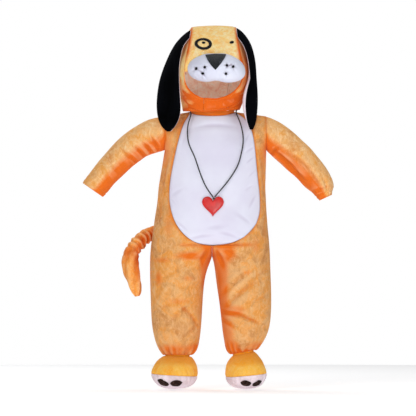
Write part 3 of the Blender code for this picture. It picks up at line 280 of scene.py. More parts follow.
def plushFinish(name):
    low, main, bright, rubbedPileAndHighlight, deep = plushColours[name]
    bench = nodeBench(name, {
        "Roughness": plushSetup["roughness"], "Sheen Weight": 0.12, "Sheen Roughness": 0.5,
        "Sheen Tint": (1.0, 0.72, 0.45, 1), "Specular IOR Level": 0.12,
    })
    patches = bench.noise(plushSetup["patches"], 5.0, 0.66, distortion=0.9)
    slanted = bench.stretch((1.0, 1.0, 0.6), (0.3, 0.2, 0.5))
    strokes = bench.noise(plushSetup["strokes"], 5.0, 0.72, slanted, 1.6)
    pile = bench.noise(plushSetup["pile"], 2.0, 0.6)
    tufts = bench.cells(plushSetup["tufts"])
    ground = bench.ramp(patches, (0.34, low), (0.46, main), (0.56, bright), (0.66, main))
    brushed = bench.mix(bench.ramp(strokes, (0.48, (0, 0, 0)), (0.68, (0.7, 0.7, 0.7))), ground, rubbedPileAndHighlight)
    shaded = bench.mix(bench.ramp(strokes, (0.32, (0.6, 0.6, 0.6)), (0.46, (0, 0, 0))), brushed, low)
    # painted shade: the deep colour is mixed in where the painted shade attribute is high, at creases, edges,
    # undersides and shaded places
    paintedShade = bench.sum(bench.attribute("paintedShade"), bench.sum(patches, 0.9), "MULTIPLY")
    withPaintedShade = bench.mix(bench.ramp(paintedShade, (0.12, (0, 0, 0)), (0.85, (1, 1, 1))), shaded, deep)
    # painted highlight on fold ridges in the rubbed colour, and painted shade in fold troughs, both from the
    # fold height
    fold = bench.attribute("fold")
    ridgeHighlighted = bench.mix(bench.ramp(fold, (0.55, (0, 0, 0)), (0.9, (0.5, 0.5, 0.5))), withPaintedShade, rubbedPileAndHighlight)
    creaseShadeColour = tuple(0.78 * part for part in deep)
    paintedCreaseShade = bench.mix(bench.ramp(fold, (0.0, (0.65, 0.65, 0.65)), (0.42, (0, 0, 0))), ridgeHighlighted, creaseShadeColour)
    fine = bench.ramp(pile, (0.25, (0.86, 0.86, 0.86)), (0.75, (1.10, 1.10, 1.10)))
    bench.colour(bench.mix(1.0, paintedCreaseShade, fine, "MULTIPLY"))
    bench.bump((strokes, 0.30, 0.003), (pile, 0.45, 0.0012), (tufts, 0.30, 0.0006))
    return bench.finish


def hoodLiningFinish():
    bench = nodeBench("hoodLining", {
        "Roughness": 0.95, "Sheen Weight": 0.6, "Sheen Roughness": 0.5, "Sheen Tint": (1.0, 0.88, 0.84, 1),
    })
    clumps = bench.noise(34.0, 4.0, 0.7, distortion=1.5)
    fibres = bench.noise(260.0, 3.0, 0.7)
    bench.colour(bench.ramp(
        clumps, (0.3, (0.86, 0.50, 0.38)), (0.5, (1.0, 0.80, 0.68)), (0.7, (1.0, 1.0, 0.96))))
    bench.bump((clumps, 0.7, 0.006), (fibres, 0.8, 0.002))
    return bench.finish


def backingFinish():
    bench = nodeBench("plushBacking", {"Roughness": 0.9, "Sheen Weight": 0.15})
    knit = bench.sum(bench.wave(330.0, 0.6, direction="X"), bench.wave(330.0, 0.6, direction="Z"), "MULTIPLY")
    worn = bench.noise(22.0, 3.0)
    bench.colour(bench.ramp(worn, (0.3, (0.62, 0.33, 0.14)), (0.7, (0.76, 0.46, 0.22))))
    bench.bump((knit, 0.35, 0.0006))
    return bench.finish


def whiteClothFinish(name, main, shade, paintedCreaseShade, weave):
    bench = nodeBench(name, {
        "Roughness": 0.6, "Sheen Weight": 0.12, "Sheen Roughness": 0.35, "Sheen Tint": (0.90, 0.90, 1.0, 1),
        "Specular IOR Level": 0.3,
    })
    clouds = bench.noise(9.0, 3.0, 0.5)
    knit = bench.sum(bench.wave(weave, 0.4, direction="X"), bench.wave(weave, 0.4, direction="Z"), "MULTIPLY")
    grain = bench.noise(700.0, 2.0)
    tint = bench.ramp(clouds, (0.35, shade), (0.6, main))
    # painted shade: the cloth darkens towards its crease colour in the fold troughs
    troughShadeMask = bench.ramp(bench.attribute("fold"), (0.15, (0.85, 0.85, 0.85)), (0.46, (0, 0, 0)))
    creaseShaded = bench.mix(troughShadeMask, tint, paintedCreaseShade)
    gaps = bench.ramp(knit, (0.0, (0.12, 0.12, 0.12)), (1.0, (0, 0, 0)))
    bench.colour(bench.mix(gaps, creaseShaded, shade))
    bench.rough(clouds, 0.52, 0.7)
    bench.bump((clouds, 0.12, 0.004), (knit, 0.22, 0.0004), (grain, 0.15, 0.0003))
    return bench.finish


def blackPlushFinish():
    bench = nodeBench("earPlush", {
        "Roughness": 0.95, "Sheen Weight": 0.008, "Sheen Roughness": 0.35, "Sheen Tint": (0.55, 0.66, 1.0, 1),
        "Specular IOR Level": 0.01,
    })
    nap = bench.noise(20.0, 4.0, 0.6, bench.stretch((1.0, 1.0, 0.5)), 0.8)
    pile = bench.noise(700.0, 2.0, 0.6)
    bench.colour(bench.ramp(nap, (0.35, (0.0009, 0.0009, 0.0011)), (0.7, (0.003, 0.0034, 0.005))))
    bench.bump((nap, 0.25, 0.003), (pile, 0.55, 0.0011))
    return bench.finish


def satinFinish(name, main, shade, sheen):
    bench = nodeBench(name, {
        "Roughness": 0.38, "Sheen Weight": 0.3, "Sheen Roughness": 0.3, "Sheen Tint": (*sheen, 1),
        "Specular IOR Level": 0.5, "Anisotropic": 0.35,
    })
    clouds = bench.noise(26.0, 3.0, 0.6, distortion=0.5)
    threads = bench.wave(900.0, 1.0, direction="Z")
    bench.colour(bench.ramp(clouds, (0.3, shade), (0.65, main)))
    bench.rough(clouds, 0.30, 0.48)
    bench.bump((clouds, 0.25, 0.003), (threads, 0.18, 0.0003))
    return bench.finish


def feltFinish(name, dark, light):
    bench = nodeBench(name, {
        "Roughness": 0.92, "Sheen Weight": 0.04, "Sheen Roughness": 0.5, "Specular IOR Level": 0.15,
    })
    fibres = bench.noise(420.0, 4.0, 0.75, distortion=2.0)
    blots = bench.noise(60.0, 3.0)
    both = bench.sum(bench.sum(fibres, 0.6, "MULTIPLY"), bench.sum(blots, 0.4, "MULTIPLY"))
    bench.colour(bench.ramp(both, (0.35, dark), (0.65, light)))
    bench.bump((fibres, 0.55, 0.0006))
    return bench.finish


def twillFinish():
    bench = nodeBench("noseTwill", {
        "Roughness": 0.62, "Sheen Weight": 0.05, "Sheen Roughness": 0.4, "Specular IOR Level": 0.3,
    })
    slant = bench.stretch((1.0, 0.35, 1.0), (0, math.radians(45), 0))
    ribs = bench.wave(420.0, 0.3, slant, "X")
    yarn = bench.noise(900.0, 2.0)
    clouds = bench.noise(40.0, 2.0)
    ribbed = bench.ramp(ribs, (0.2, (0.006, 0.007, 0.009)), (0.8, (0.021, 0.024, 0.031)))
    dusty = bench.ramp(clouds, (0.4, (0, 0, 0)), (0.7, (0.4, 0.4, 0.4)))
    bench.colour(bench.mix(dusty, ribbed, (0.028, 0.032, 0.042)))
    bench.bump((ribs, 0.6, 0.0006), (yarn, 0.3, 0.0003))
    return bench.finish


def heartFinish():
    bench = nodeBench("heartEnamel", {
        "Roughness": 0.42, "Coat Weight": 0.3, "Coat Roughness": 0.22, "Specular IOR Level": 0.3,
    })
    clouds = bench.noise(45.0, 3.0)
    specks = bench.cells(1400.0)
    bench.colour(bench.ramp(clouds, (0.3, (0.50, 0.004, 0.004)), (0.7, (0.72, 0.014, 0.010))))
    bench.rough(bench.noise(300.0, 3.0), 0.34, 0.5)
    bench.bump((clouds, 0.10, 0.0012), (specks, 0.05, 0.0002))
    return bench.finish


def cordFinish(name, dark, light):
    bench = nodeBench(name, {"Roughness": 0.5, "Sheen Weight": 0.1})
    braid = bench.sum(
        bench.wave(300.0, 1.5, bench.stretch((1, 1, 1), (0, math.radians(40), 0)), "X"),
        bench.wave(300.0, 1.5, bench.stretch((1, 1, 1), (0, math.radians(-40), 0)), "X"), "MULTIPLY")
    bench.colour(bench.ramp(braid, (0.1, dark), (0.8, light)))
    bench.rough(bench.noise(120.0), 0.38, 0.62)
    bench.bump((braid, 0.6, 0.0006))
    return bench.finish


# Cloth: a copy of a node's wall, made fine, then pushed in and out along its own face

def softCopy(nodeName, pieceName, levels, sharpness=42):
    piece = bpy.data.objects.new(pieceName, nodes[nodeName].data.copy())
    bpy.context.scene.collection.objects.link(piece)
    pick(piece)
    bpy.ops.object.mode_set(mode="EDIT")
    bpy.ops.mesh.select_mode(type="VERT")
    bpy.ops.mesh.select_all(action="SELECT")
    bpy.ops.mesh.remove_doubles(threshold=0.00002)
    bpy.ops.mesh.customdata_custom_splitnormals_clear()
    bpy.ops.mesh.tris_convert_to_quads(face_threshold=math.radians(50), shape_threshold=math.radians(70))
    bpy.ops.mesh.select_mode(type="EDGE")
    bpy.ops.mesh.select_all(action="DESELECT")
    bpy.ops.mesh.edges_select_sharp(sharpness=math.radians(sharpness))
    bpy.ops.transform.edge_crease(value=1)
    bpy.ops.object.mode_set(mode="OBJECT")
    if levels:
        finer = piece.modifiers.new("finer", "SUBSURF")
        finer.levels = levels
        finer.render_levels = levels
        bpy.ops.object.modifier_apply(modifier="finer")
    bpy.ops.object.shade_smooth()
    piece.data.materials.clear()
    return piece


def places(piece):
    flat = np.empty(len(piece.data.vertices) * 3)
    piece.data.vertices.foreach_get("co", flat)
    return flat.reshape(-1, 3)


def setPlaces(piece, moved):
    piece.data.vertices.foreach_set("co", moved.ravel())
    piece.data.update()


def vertexNormals(piece):
    flat = np.empty(len(piece.data.vertices) * 3)
    piece.data.vertex_normals.foreach_get("vector", flat)
    return flat.reshape(-1, 3)


def rimDistance(piece, angle=50):
    # how far each point is from the piece's cut edges
    shape = bmesh.new()
    shape.from_mesh(piece.data)
    limit = math.radians(angle)
    rim = {vert.index for edge in shape.edges if edge.calc_face_angle(0) > limit for vert in edge.verts}
    shape.free()
    tree = KDTree(len(rim))
    for number in rim:
        tree.insert(piece.data.vertices[number].co, number)
    tree.balance()
    return np.array([tree.find(vertex.co)[2] for vertex in piece.data.vertices])


def paint(piece, name, values):
    # a value at each point, which the finish reads
    piece.data.attributes.new(name, "FLOAT", "POINT").data.foreach_set("value", np.clip(values, 0, 1))


def pushOut(piece, guide, height, paintedShade=None):
    # height(places, rim distance) is in millimetres; guide points roughly outwards
    here = places(piece)
    normals = vertexNormals(piece)
    side = np.sign((normals * guide(here)).sum(1))
    rim = rimDistance(piece)
    out = height(here, rim)
    # the fold height, which the finishes turn into painted shade in troughs and painted highlight on ridges
    paint(piece, "fold", 0.5 + (out - np.median(out)) / 8)
    # the painted shade amount at each point, none where no field is given
    paint(piece, "paintedShade", paintedShade(here, rim) if paintedShade else np.zeros(len(here)))
    setPlaces(piece, here + normals * (side * out * mm)[:, None])


def shadePatchField(here, patches):
    # soft patches of painted shade, each a place, its half sizes and a strength, in millimetres
    x, _, z = (here / mm).T
    total = np.zeros(len(here))
    for atX, atZ, wide, high, strength in patches:
        total += strength * np.exp(-(((x - atX) / wide) ** 2) - ((z - atZ) / high) ** 2)
    return total


def ripple(here, size, seed, stretch=(1, 1, 1), waves=22):
    # a smooth uneven field from about -1 to 1, with swells about size across
    draw = np.random.default_rng(seed)
    heading = draw.normal(size=(waves, 3)) * np.array(stretch)
    heading /= np.linalg.norm(heading, axis=1)[:, None]
    heading *= (2 * math.pi / (size * draw.uniform(1.3, 2.6, waves)))[:, None]
    return np.sin(here @ heading.T + draw.uniform(0, 2 * math.pi, waves)).sum(1) / math.sqrt(waves) / 1.3


creaseSoftness = 1.35


def creaseField(here, creases):
    # soft troughs with raised shoulders, each placed as seen from the front or the back, in millimetres
    total = np.zeros(len(here))
    x, y, z = (here / mm).T
    for facing, atX, atZ, heading, long, wide, deep in creases:
        turn = math.radians(heading)
        wide *= creaseSoftness
        along = (x - atX) * math.cos(turn) + (z - atZ) * math.sin(turn)
        across = (z - atZ) * math.cos(turn) - (x - atX) * math.sin(turn) + along**2 * 0.0022
        profile = (1 - 1.5 * (across / wide) ** 2) * np.exp(-(across / wide) ** 2)
        shown = np.clip(y * facing / 14, 0, 1)
        total -= deep * profile * np.exp(-(along / long) ** 2) * shown
    return total


def inwardFaces(piece, guide, slot, limit=-0.25):
    # the inner skin gets another finish
    for face in piece.data.polygons:
        way = guide(np.array([face.center]))[0]
        way /= np.linalg.norm(way)
        if face.normal.dot(Vector(way)) < limit:
            face.material_index = slot


def skinTree(piece):
    points = [vertex.co.copy() for vertex in piece.data.vertices]
    return BVHTree.FromPolygons(points, [tuple(face.vertices) for face in piece.data.polygons])


def reseat(piece, carrierNode, carrier):
    # a sewn-on piece keeps its height over the cloth that carries it
    old, new = skinTree(nodes[carrierNode]), skinTree(carrier)
    for vertex in piece.data.vertices:
        foot, out = old.find_nearest(vertex.co)[:2]
        height = (vertex.co - foot).dot(out)
        foot, out = new.find_nearest(vertex.co)[:2]
        vertex.co = foot + out * max(height, 0.0001)
    piece.data.update()


def outlineOf(piece, inset, count=160):
    # a line just inside a flat piece's own outline, in millimetres
    here = places(piece) / mm
    middle = here.mean(axis=0)
    wide, long, _ = np.linalg.svd(here - middle, full_matrices=False)[2]
    across, along = (here - middle) @ wide, (here - middle) @ long
    reach = np.hypot(across, along)
    sector = ((np.arctan2(along, across) / (2 * math.pi) + 0.5) * count).astype(int) % count
    route = []
    for number in range(count):
        inSector = np.where(sector == number)[0]
        if len(inSector):
            edge = inSector[reach[inSector].argmax()]
            route.append(here[edge] + (middle - here[edge]) * inset / reach[edge])
    return route + route[:1]


def ringRoute(carrier, middle, axis, count=72):
    # a line round a tube of cloth, found from outside
    skin = skinTree(carrier)
    axis = Vector(axis).normalized()
    start = axis.orthogonal().normalized()
    route = []
    for number in range(count + 1):
        way = start.copy()
        way.rotate(Quaternion(axis, 2 * math.pi * number / count))
        hit = skin.ray_cast((Vector(middle) + way * 150) * mm, -way)[0]
        if hit:
            route.append(hit / mm)
    return route


def frontRoute(carrier, points):
    # a line drawn on the cloth as seen from the front
    skin = skinTree(carrier)
    hits = [skin.ray_cast(Vector((x, -200, z)) * mm, Vector((0, 1, 0)))[0] for x, z in points]
    return [hit / mm for hit in hits if hit]


def stitchRow(name, route, carrier, finish, pitch=3.4, thick=0.35, lift=0.1):
    # a row of short threads along a line of points on the cloth, in millimetres
    skin = skinTree(carrier)
    route = np.array(route, float)
    lengths = np.concatenate(([0], np.cumsum(np.linalg.norm(np.diff(route, axis=0), axis=1))))
    curve = bpy.data.curves.new(name, "CURVE")
    curve.dimensions = "3D"
    curve.bevel_depth = thick * mm
    curve.bevel_resolution = 1
    curve.use_fill_caps = True
    for number in range(int(lengths[-1] / pitch)):
        start = number * pitch
        spline = curve.splines.new("POLY")
        spline.points.add(2)
        for point, run in zip(spline.points, (start, start + pitch * 0.32, start + pitch * 0.64)):
            place = Vector([np.interp(run, lengths, route[:, axis]) * mm for axis in range(3)])
            foot, out = skin.find_nearest(place)[:2]
            point.co = (*(foot + out * lift * mm), 1)
    thread = bpy.data.objects.new(name, curve)
    bpy.context.scene.collection.objects.link(thread)
    pick(thread)
    bpy.ops.object.convert(target="MESH")
    thread.data.materials.append(finish)
    bpy.ops.object.shade_smooth()
    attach(thread, "root")
    return thread


def finishPiece(piece, nodeName, slotName, *finishes):
    for finish in finishes:
        piece.data.materials.append(finish)
    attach(piece, "root")
    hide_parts(nodeName)
    return piece


# Which way is out, roughly

def bodyOut(here):
    share = np.clip((-0.28 - here[:, 2]) / 0.08, 0, 1)
    middle = np.sign(here[:, 0]) * 0.09 * share
    return np.column_stack((here[:, 0] - middle, here[:, 1], np.zeros(len(here))))


sleeveLine = {
    # the sleeve's middle line, in millimetres from the middle and down
    "r": ((130, 167, 211, 253, 292, 328), (-48, -57, -81, -116, -158, -203)),
    "l": ((149, 185, 223, 259, 288, 306, 316), (-48, -72, -105, -138, -170, -194, -225)),
}


def sleeveOut(side):
    acrossLine, heightLine = sleeveLine[side]

    def out(here):
        reach = np.abs(here[:, 0]) / mm
        middle = np.interp(reach, acrossLine, heightLine) * mm
        beyond, before = (np.interp(reach + step, acrossLine, heightLine) for step in (5, -5))
        slope = (beyond - before) / 10
        above = here[:, 2] - middle
        return np.column_stack((-slope * np.sign(here[:, 0]) * above, here[:, 1], above))

    return out


def outFrom(middle):
    return lambda here: here - np.array(middle)


hoodOut = outFrom((0.005, 0.0, 0.12))


# Jumpsuit

bodyFolds = {
    # facing, x, z, heading from level, half length, half width, depth
    "creases": (
        (front, -128, -150, 78, 30, 5, 2.6), (front, -119, -175, 70, 24, 4, 2.2),
        (front, -136, -196, 80, 26, 5, 2.0), (front, 136, -128, 104, 34, 6, 2.4),
        (front, 141, -178, 96, 30, 5, 1.8), (front, 137, -236, 92, 34, 6, 1.4),
        (front, -142, -262, 84, 44, 7, 1.5), (front, 143, -306, 88, 40, 7, 1.4),
        (front, -22, -384, 62, 26, 6, 2.6), (front, 22, -386, -66, 28, 6, 2.6),
        (front, -44, -372, 38, 30, 7, 1.8), (front, 52, -378, -30, 32, 7, 1.9),
        (front, -60, -402, 30, 26, 7, 1.5), (front, 64, -408, -46, 30, 6, 1.6),
        (front, 72, -448, 38, 44, 8, 2.8), (front, 96, -470, 30, 48, 9, 2.8),
        (front, 128, -436, 34, 36, 8, 2.2), (front, 120, -506, 26, 40, 8, 2.3),
        (front, 66, -498, 42, 34, 7, 2.0), (front, 70, -545, -14, 42, 6, 3.4),
        (front, 108, -560, -24, 34, 7, 2.4), (front, 56, -574, -34, 24, 6, 2.2),
        (front, 140, -582, 12, 30, 8, 1.6), (front, -74, -532, -46, 34, 7, 2.6),
        (front, -50, -556, -58, 26, 6, 2.2), (front, -98, -548, 40, 34, 8, 2.2),
        (front, -128, -522, 22, 34, 8, 1.8), (front, -60, -592, 46, 26, 6, 2.2),
        (front, -112, -588, -22, 32, 8, 1.8), (front, -140, -470, 62, 34, 8, 1.5),
        (front, -84, -468, -18, 44, 9, 1.3), (front, -112, -430, 30, 40, 9, 1.3),
        (back, -92, -120, 60, 40, 8, 2.2), (back, 96, -130, -58, 42, 8, 2.2),
        (back, -60, -190, -20, 48, 9, 1.8), (back, 64, -214, 24, 50, 9, 1.8),
        (back, -104, -250, 64, 40, 8, 1.6), (back, 110, -262, -62, 42, 8, 1.6),
        (back, -40, -330, -34, 36, 8, 2.2), (back, 44, -338, 36, 38, 8, 2.2),
        (back, -30, -392, -62, 28, 6, 2.4), (back, 30, -392, 64, 28, 6, 2.4),
        (back, -100, -400, -20, 44, 9, 2.2), (back, 104, -404, 18, 46, 9, 2.2),
        (back, -84, -478, 26, 44, 9, 2.0), (back, 92, -486, -30, 44, 9, 2.2),
        (back, -108, -540, -28, 40, 8, 2.6), (back, 86, -548, 20, 42, 8, 2.6),
        (back, -76, -584, 34, 34, 7, 2.2), (back, 112, -590, -26, 34, 7, 2.2),
    ),
    "seamPuff": 1.3, "seamReach": 0.006,
    "creaseDepth": 1.25, "creaseReach": 0.011,
    "swell": (1.1, 0.085), "crumple": (0.75, 0.032),     # height and size of the small unevenness
    "gathers": 15, "gatherDepth": 3.4, "gatherReach": 0.021,
    "cuts": {
        "front_": (0.21, 0.72, {"r": 0.096, "l": 0.088}),
        "back_": (0.25, 0.72, {"r": 0.133, "l": 0.133}),
    },
    # painted shade patches: deeper orange between and inside the legs, above the ankles, at the armpits and
    # sides, and under the hood
    "paintedShade": (
        # x, z, half width, half height, strength
        (-60, -384, 34, 11, 0.8), (-12, -384, 16, 26, 1.0), (22, -392, 16, 30, 1.0), (48, -376, 16, 18, 0.8),
        (-20, -430, 12, 44, 0.8), (30, -440, 14, 52, 1.0), (30, -520, 14, 44, 0.8), (60, -536, 26, 14, 0.9),
        (44, -590, 16, 30, 0.8), (-146, -446, 9, 20, 0.5), (-138, -396, 24, 8, 0.4), (-66, -446, 18, 7, 0.35),
        (-92, -508, 34, 9, 0.3), (-110, -640, 44, 14, 0.6), (-44, -640, 18, 14, 0.9), (54, -636, 18, 18, 0.9),
        (128, -632, 26, 12, 0.7), (86, -648, 60, 8, 0.5), (96, -430, 14, 8, 0.3), (120, -356, 12, 26, 0.3),
        (-128, -90, 18, 40, 0.7), (148, -100, 14, 30, 0.7), (0, -30, 70, 22, 0.9), (-118, -300, 14, 40, 0.3),
    ),
}
hemHeights = {-1: -0.657, 1: -0.649}      # the ankle hems
legMiddles = {-1: -0.0945, 1: 0.085}


def ankleGathers(here):
    # uneven tucks that the ankle elastic draws in, fading up the leg
    side = np.where(here[:, 0] < 0, -1, 1)
    hem = np.where(side < 0, hemHeights[-1], hemHeights[1])
    middle = np.where(side < 0, legMiddles[-1], legMiddles[1])
    bearing = np.arctan2(here[:, 1], here[:, 0] - middle)
    above = np.clip(here[:, 2] - hem, 0, 1)
    wobble = 0.7 * np.sin(3 * bearing + side) + 0.5 * np.sin(5 * bearing - 1.3 * side)
    tuck = np.sin(bodyFolds["gathers"] * bearing + wobble)
    uneven = 0.65 + 0.35 * np.sin(4 * bearing + 2 * side)
    fade = np.exp(-((above / bodyFolds["gatherReach"]) ** 2))
    return bodyFolds["gatherDepth"] * (np.abs(tuck) ** 0.7 * np.sign(tuck) - 0.25) * uneven * fade


def bodyHeight(here, rim):
    free = 1 - np.exp(-((rim / bodyFolds["seamReach"]) ** 2))
    height = bodyFolds["seamPuff"] * free
    creased = bodyFolds["creaseDepth"] * creaseField(here, bodyFolds["creases"])
    height += creased * (1 - np.exp(-((rim / bodyFolds["creaseReach"]) ** 2)))
    swell, swellSize = bodyFolds["swell"]
    crumple, crumpleSize = bodyFolds["crumple"]
    height += swell * ripple(here, swellSize, 3) * free
    height += crumple * ripple(here, crumpleSize, 5, (1, 1, 0.6)) * free
    return height + ankleGathers(here) * np.clip(rim / 0.006, 0, 1)


def bodyPaintedShade(here, rim):
    # painted shade: the listed patches, and deeper along the seams at the panel edges
    return shadePatchField(here, bodyFolds["paintedShade"]) + 0.35 * np.exp(-((rim / 0.006) ** 2))


def makeBodyPanels():
    for side in "rl":
        for name, (wide, long, areas) in bodyFolds["cuts"].items():
            piece = softCopy(name + side, name + side + "_cloth", 3)
            pushOut(piece, bodyOut, bodyHeight, bodyPaintedShade)
            finishPiece(piece, name + side, "plush", bodyPlush, backing)
            inwardFaces(piece, bodyOut, 1)


bellyFolds = {
    "creases": (
        (front, 96, -62, 68, 16, 5, 1.6), (front, 106, -92, 30, 18, 5, 1.7),
        (front, 104, -122, 38, 20, 5, 1.9), (front, 110, -158, 44, 20, 6, 1.8),
        (front, 104, -196, 30, 18, 5, 1.5), (front, 112, -232, 62, 24, 6, 1.5),
        (front, 92, -286, -38, 26, 6, 1.3), (front, -98, -208, 34, 18, 5, 1.5),
        (front, -104, -236, -52, 22, 6, 1.1), (front, -36, -332, 12, 40, 7, 1.5),
        (front, 48, -326, -18, 34, 7, 1.4), (front, 4, -26, 2, 60, 8, 1.6),
        (front, -84, -300, -40, 34, 7, 1.3), (front, -78, -70, 72, 34, 7, 1.2),
        (front, 10, -306, 6, 30, 8, 1.0),
    ),
    "seamPuff": 1.0, "swell": (0.5, 0.10), "crumple": (0.16, 0.035),
}


def bellyHeight(here, rim):
    free = 1 - np.exp(-((rim / 0.005) ** 2))
    height = bellyFolds["seamPuff"] + creaseField(here, bellyFolds["creases"])
    height += bellyFolds["swell"][0] * ripple(here, bellyFolds["swell"][1], 3)
    height += bellyFolds["crumple"][0] * ripple(here, bellyFolds["crumple"][1], 9)
    return height * free


def makeBelly():
    piece = softCopy("belly_panel", "belly_panel_cloth", 3)
    pushOut(piece, bodyOut, bellyHeight)
    finish = whiteClothFinish("bellyCloth", (0.75, 0.76, 0.88), (0.69, 0.68, 0.82), (0.42, 0.36, 0.52), 520.0)
    finishPiece(piece, "belly_panel", "white_satin", finish, backing)
    inwardFaces(piece, bodyOut, 1)
    thread = feltFinish("whiteThread", (0.60, 0.56, 0.70), (0.78, 0.76, 0.88))
    stitchRow("belly_thread", outlineOf(piece, 3.6), piece, thread)


def collarHeight(here, rim):
    return 0.8 * (1 - np.exp(-((rim / 0.004) ** 2))) + 0.3 * ripple(here, 0.02, 4)


def makeCollar():
    piece = softCopy("neck_binding", "neck_binding_cloth", 3)
    # painted shade over the whole binding, which sits in the hood's shadow
    pushOut(piece, bodyOut, collarHeight, lambda here, rim: np.full(len(here), 0.8))
    finishPiece(piece, "neck_binding", "plush", bodyPlush, backing)


sleeveFolds = {
    "creases": {
        "r": (
            (front, -158, -70, -58, 26, 5, 3.0), (front, -178, -84, -50, 30, 5, 3.4),
            (front, -198, -96, -44, 28, 5, 3.0), (front, -222, -112, -40, 26, 5, 2.6),
            (front, -186, -60, -30, 30, 6, 1.8), (front, -240, -100, -52, 28, 6, 1.6),
            (front, -272, -138, -40, 24, 6, 1.6), (front, -290, -166, -60, 22, 6, 1.4),
            (back, -162, -78, -60, 28, 6, 3.0), (back, -190, -90, -46, 30, 6, 3.0),
            (back, -224, -104, -50, 30, 6, 2.2), (back, -262, -136, -36, 30, 6, 1.8),
        ),
        "l": (
            (front, 170, -98, 46, 24, 5, 3.0), (front, 190, -112, -40, 34, 6, 3.0),
            (front, 214, -136, -46, 40, 7, 3.4), (front, 240, -164, -44, 36, 6, 2.8),
            (front, 228, -112, -34, 34, 7, 1.8), (front, 262, -142, -50, 34, 7, 1.8),
            (front, 288, -176, -58, 26, 6, 1.8), (front, 300, -200, 20, 20, 5, 2.2),
            (front, 312, -188, -70, 20, 5, 1.8), (back, 176, -96, 44, 28, 6, 3.0),
            (back, 206, -116, 50, 32, 6, 2.8), (back, 244, -144, 44, 30, 6, 2.2),
            (back, 280, -176, 38, 26, 6, 2.0),
        ),
    },
    "creaseDepth": 1.35,
    "hemAt": 0.014, "hemWide": 0.0024, "hemDepth": 1.4, "cuffFrom": {"r": 0.275, "l": 0.285},
    "cuts": {"r": (0.29, 0.27, 0.066), "l": (0.28, 0.27, 0.062)},
}


def sleeveHeight(side):
    def height(here, rim):
        free = 1 - np.exp(-((rim / 0.006) ** 2))
        folds = sleeveFolds["creaseDepth"] * creaseField(here, sleeveFolds["creases"][side])
        out = 1.2 * free + folds * (1 - np.exp(-((rim / 0.012) ** 2)))
        out += (0.8 * ripple(here, 0.07, 13) + 0.5 * ripple(here, 0.026, 17)) * free
        cuff = np.abs(here[:, 0]) > sleeveFolds["cuffFrom"][side]
        groove = np.exp(-(((rim - sleeveFolds["hemAt"]) / sleeveFolds["hemWide"]) ** 2))
        return out - sleeveFolds["hemDepth"] * groove * cuff
    return height


def sleevePaintedShade(side):
    acrossLine, heightLine = sleeveLine[side]

    def paintedShade(here, rim):
        reach = np.abs(here[:, 0]) / mm
        above = here[:, 2] / mm - np.interp(reach, acrossLine, heightLine)
        # painted shade: deeper on the sleeve's underside, below its middle line, and along the edges
        return 0.85 * np.clip((6 - above) / 34, 0, 1) + 0.25 * np.exp(-((rim / 0.005) ** 2))

    return paintedShade


def makeSleeves():
    finish = plushFinish("sleevePlush")
    for side in "rl":
        piece = softCopy("sleeve_" + side, f"sleeve_{side}_cloth", 3)
        pushOut(piece, sleeveOut(side), sleeveHeight(side), sleevePaintedShade(side))
        finishPiece(piece, "sleeve_" + side, "plush", finish, backing)
        inwardFaces(piece, sleeveOut(side), 1)
        if side == "r":
            hem = ringRoute(piece, (-318, 0, -192), (-0.62, 0, -0.78))
            stitchRow("cuff_thread_r", hem, piece, orangeThread)


# Shoe covers

shoeSetup = {
    "gathers": 26, "gatherDepth": 1.5, "soleFolds": 25, "soleDepth": 2.0,
    "upperCuts": {"r": (0.27, 0.15, 0.027), "l": (0.25, 0.15, 0.025)},
    "soleCuts": {"r": (0.15, 0.19, 0.0235), "l": (0.145, 0.185, 0.021)},
}
shoeMiddle = {"r": (-0.100, -0.030, -0.705), "l": (0.091, -0.030, -0.700)}


def shoeHeight(side, gathers, depth, seed):
    middle = shoeMiddle[side]

    def height(here, rim):
        bearing = np.arctan2(here[:, 1] - middle[1], here[:, 0] - middle[0])
        wobble = 0.8 * np.sin(3 * bearing + seed) + 0.6 * np.sin(7 * bearing)
        near = np.exp(-((rim / 0.016) ** 2)) * (1 - np.exp(-((rim / 0.0035) ** 2)))
        out = depth * np.sin(gathers * bearing + wobble) * (0.7 + 0.3 * np.sin(4 * bearing)) * near
        free = 1 - np.exp(-((rim / 0.004) ** 2))
        return out + (1.0 + 0.5 * ripple(here, 0.045, seed) + 0.22 * ripple(here, 0.02, seed + 1)) * free

    return height


def shoePaintedShade(here, rim):
    # painted shade: deeper towards the top, where the leg hem overhangs, and along the edges
    return np.clip((here[:, 2] / mm + 692) / 40, 0, 0.4) + 0.35 * np.exp(-((rim / 0.004) ** 2))


def soleHeight(side):
    middle = shoeMiddle[side]

    def height(here, rim):
        bearing = np.arctan2(here[:, 1] - middle[1], here[:, 0] - middle[0])
        fan = np.sin(shoeSetup["soleFolds"] * bearing + 1.2 * np.sin(2 * bearing))
        reach = np.exp(-((rim / 0.022) ** 2)) * (1 - np.exp(-((rim / 0.003) ** 2)))
        under = np.clip((here[:, 2] + 0.747) / 0.008, 0, 1)
        uneven = 0.4 * ripple(here, 0.03, 21) * np.clip(rim / 0.006, 0, 1)
        return (shoeSetup["soleDepth"] * fan * reach + uneven) * under

    return height


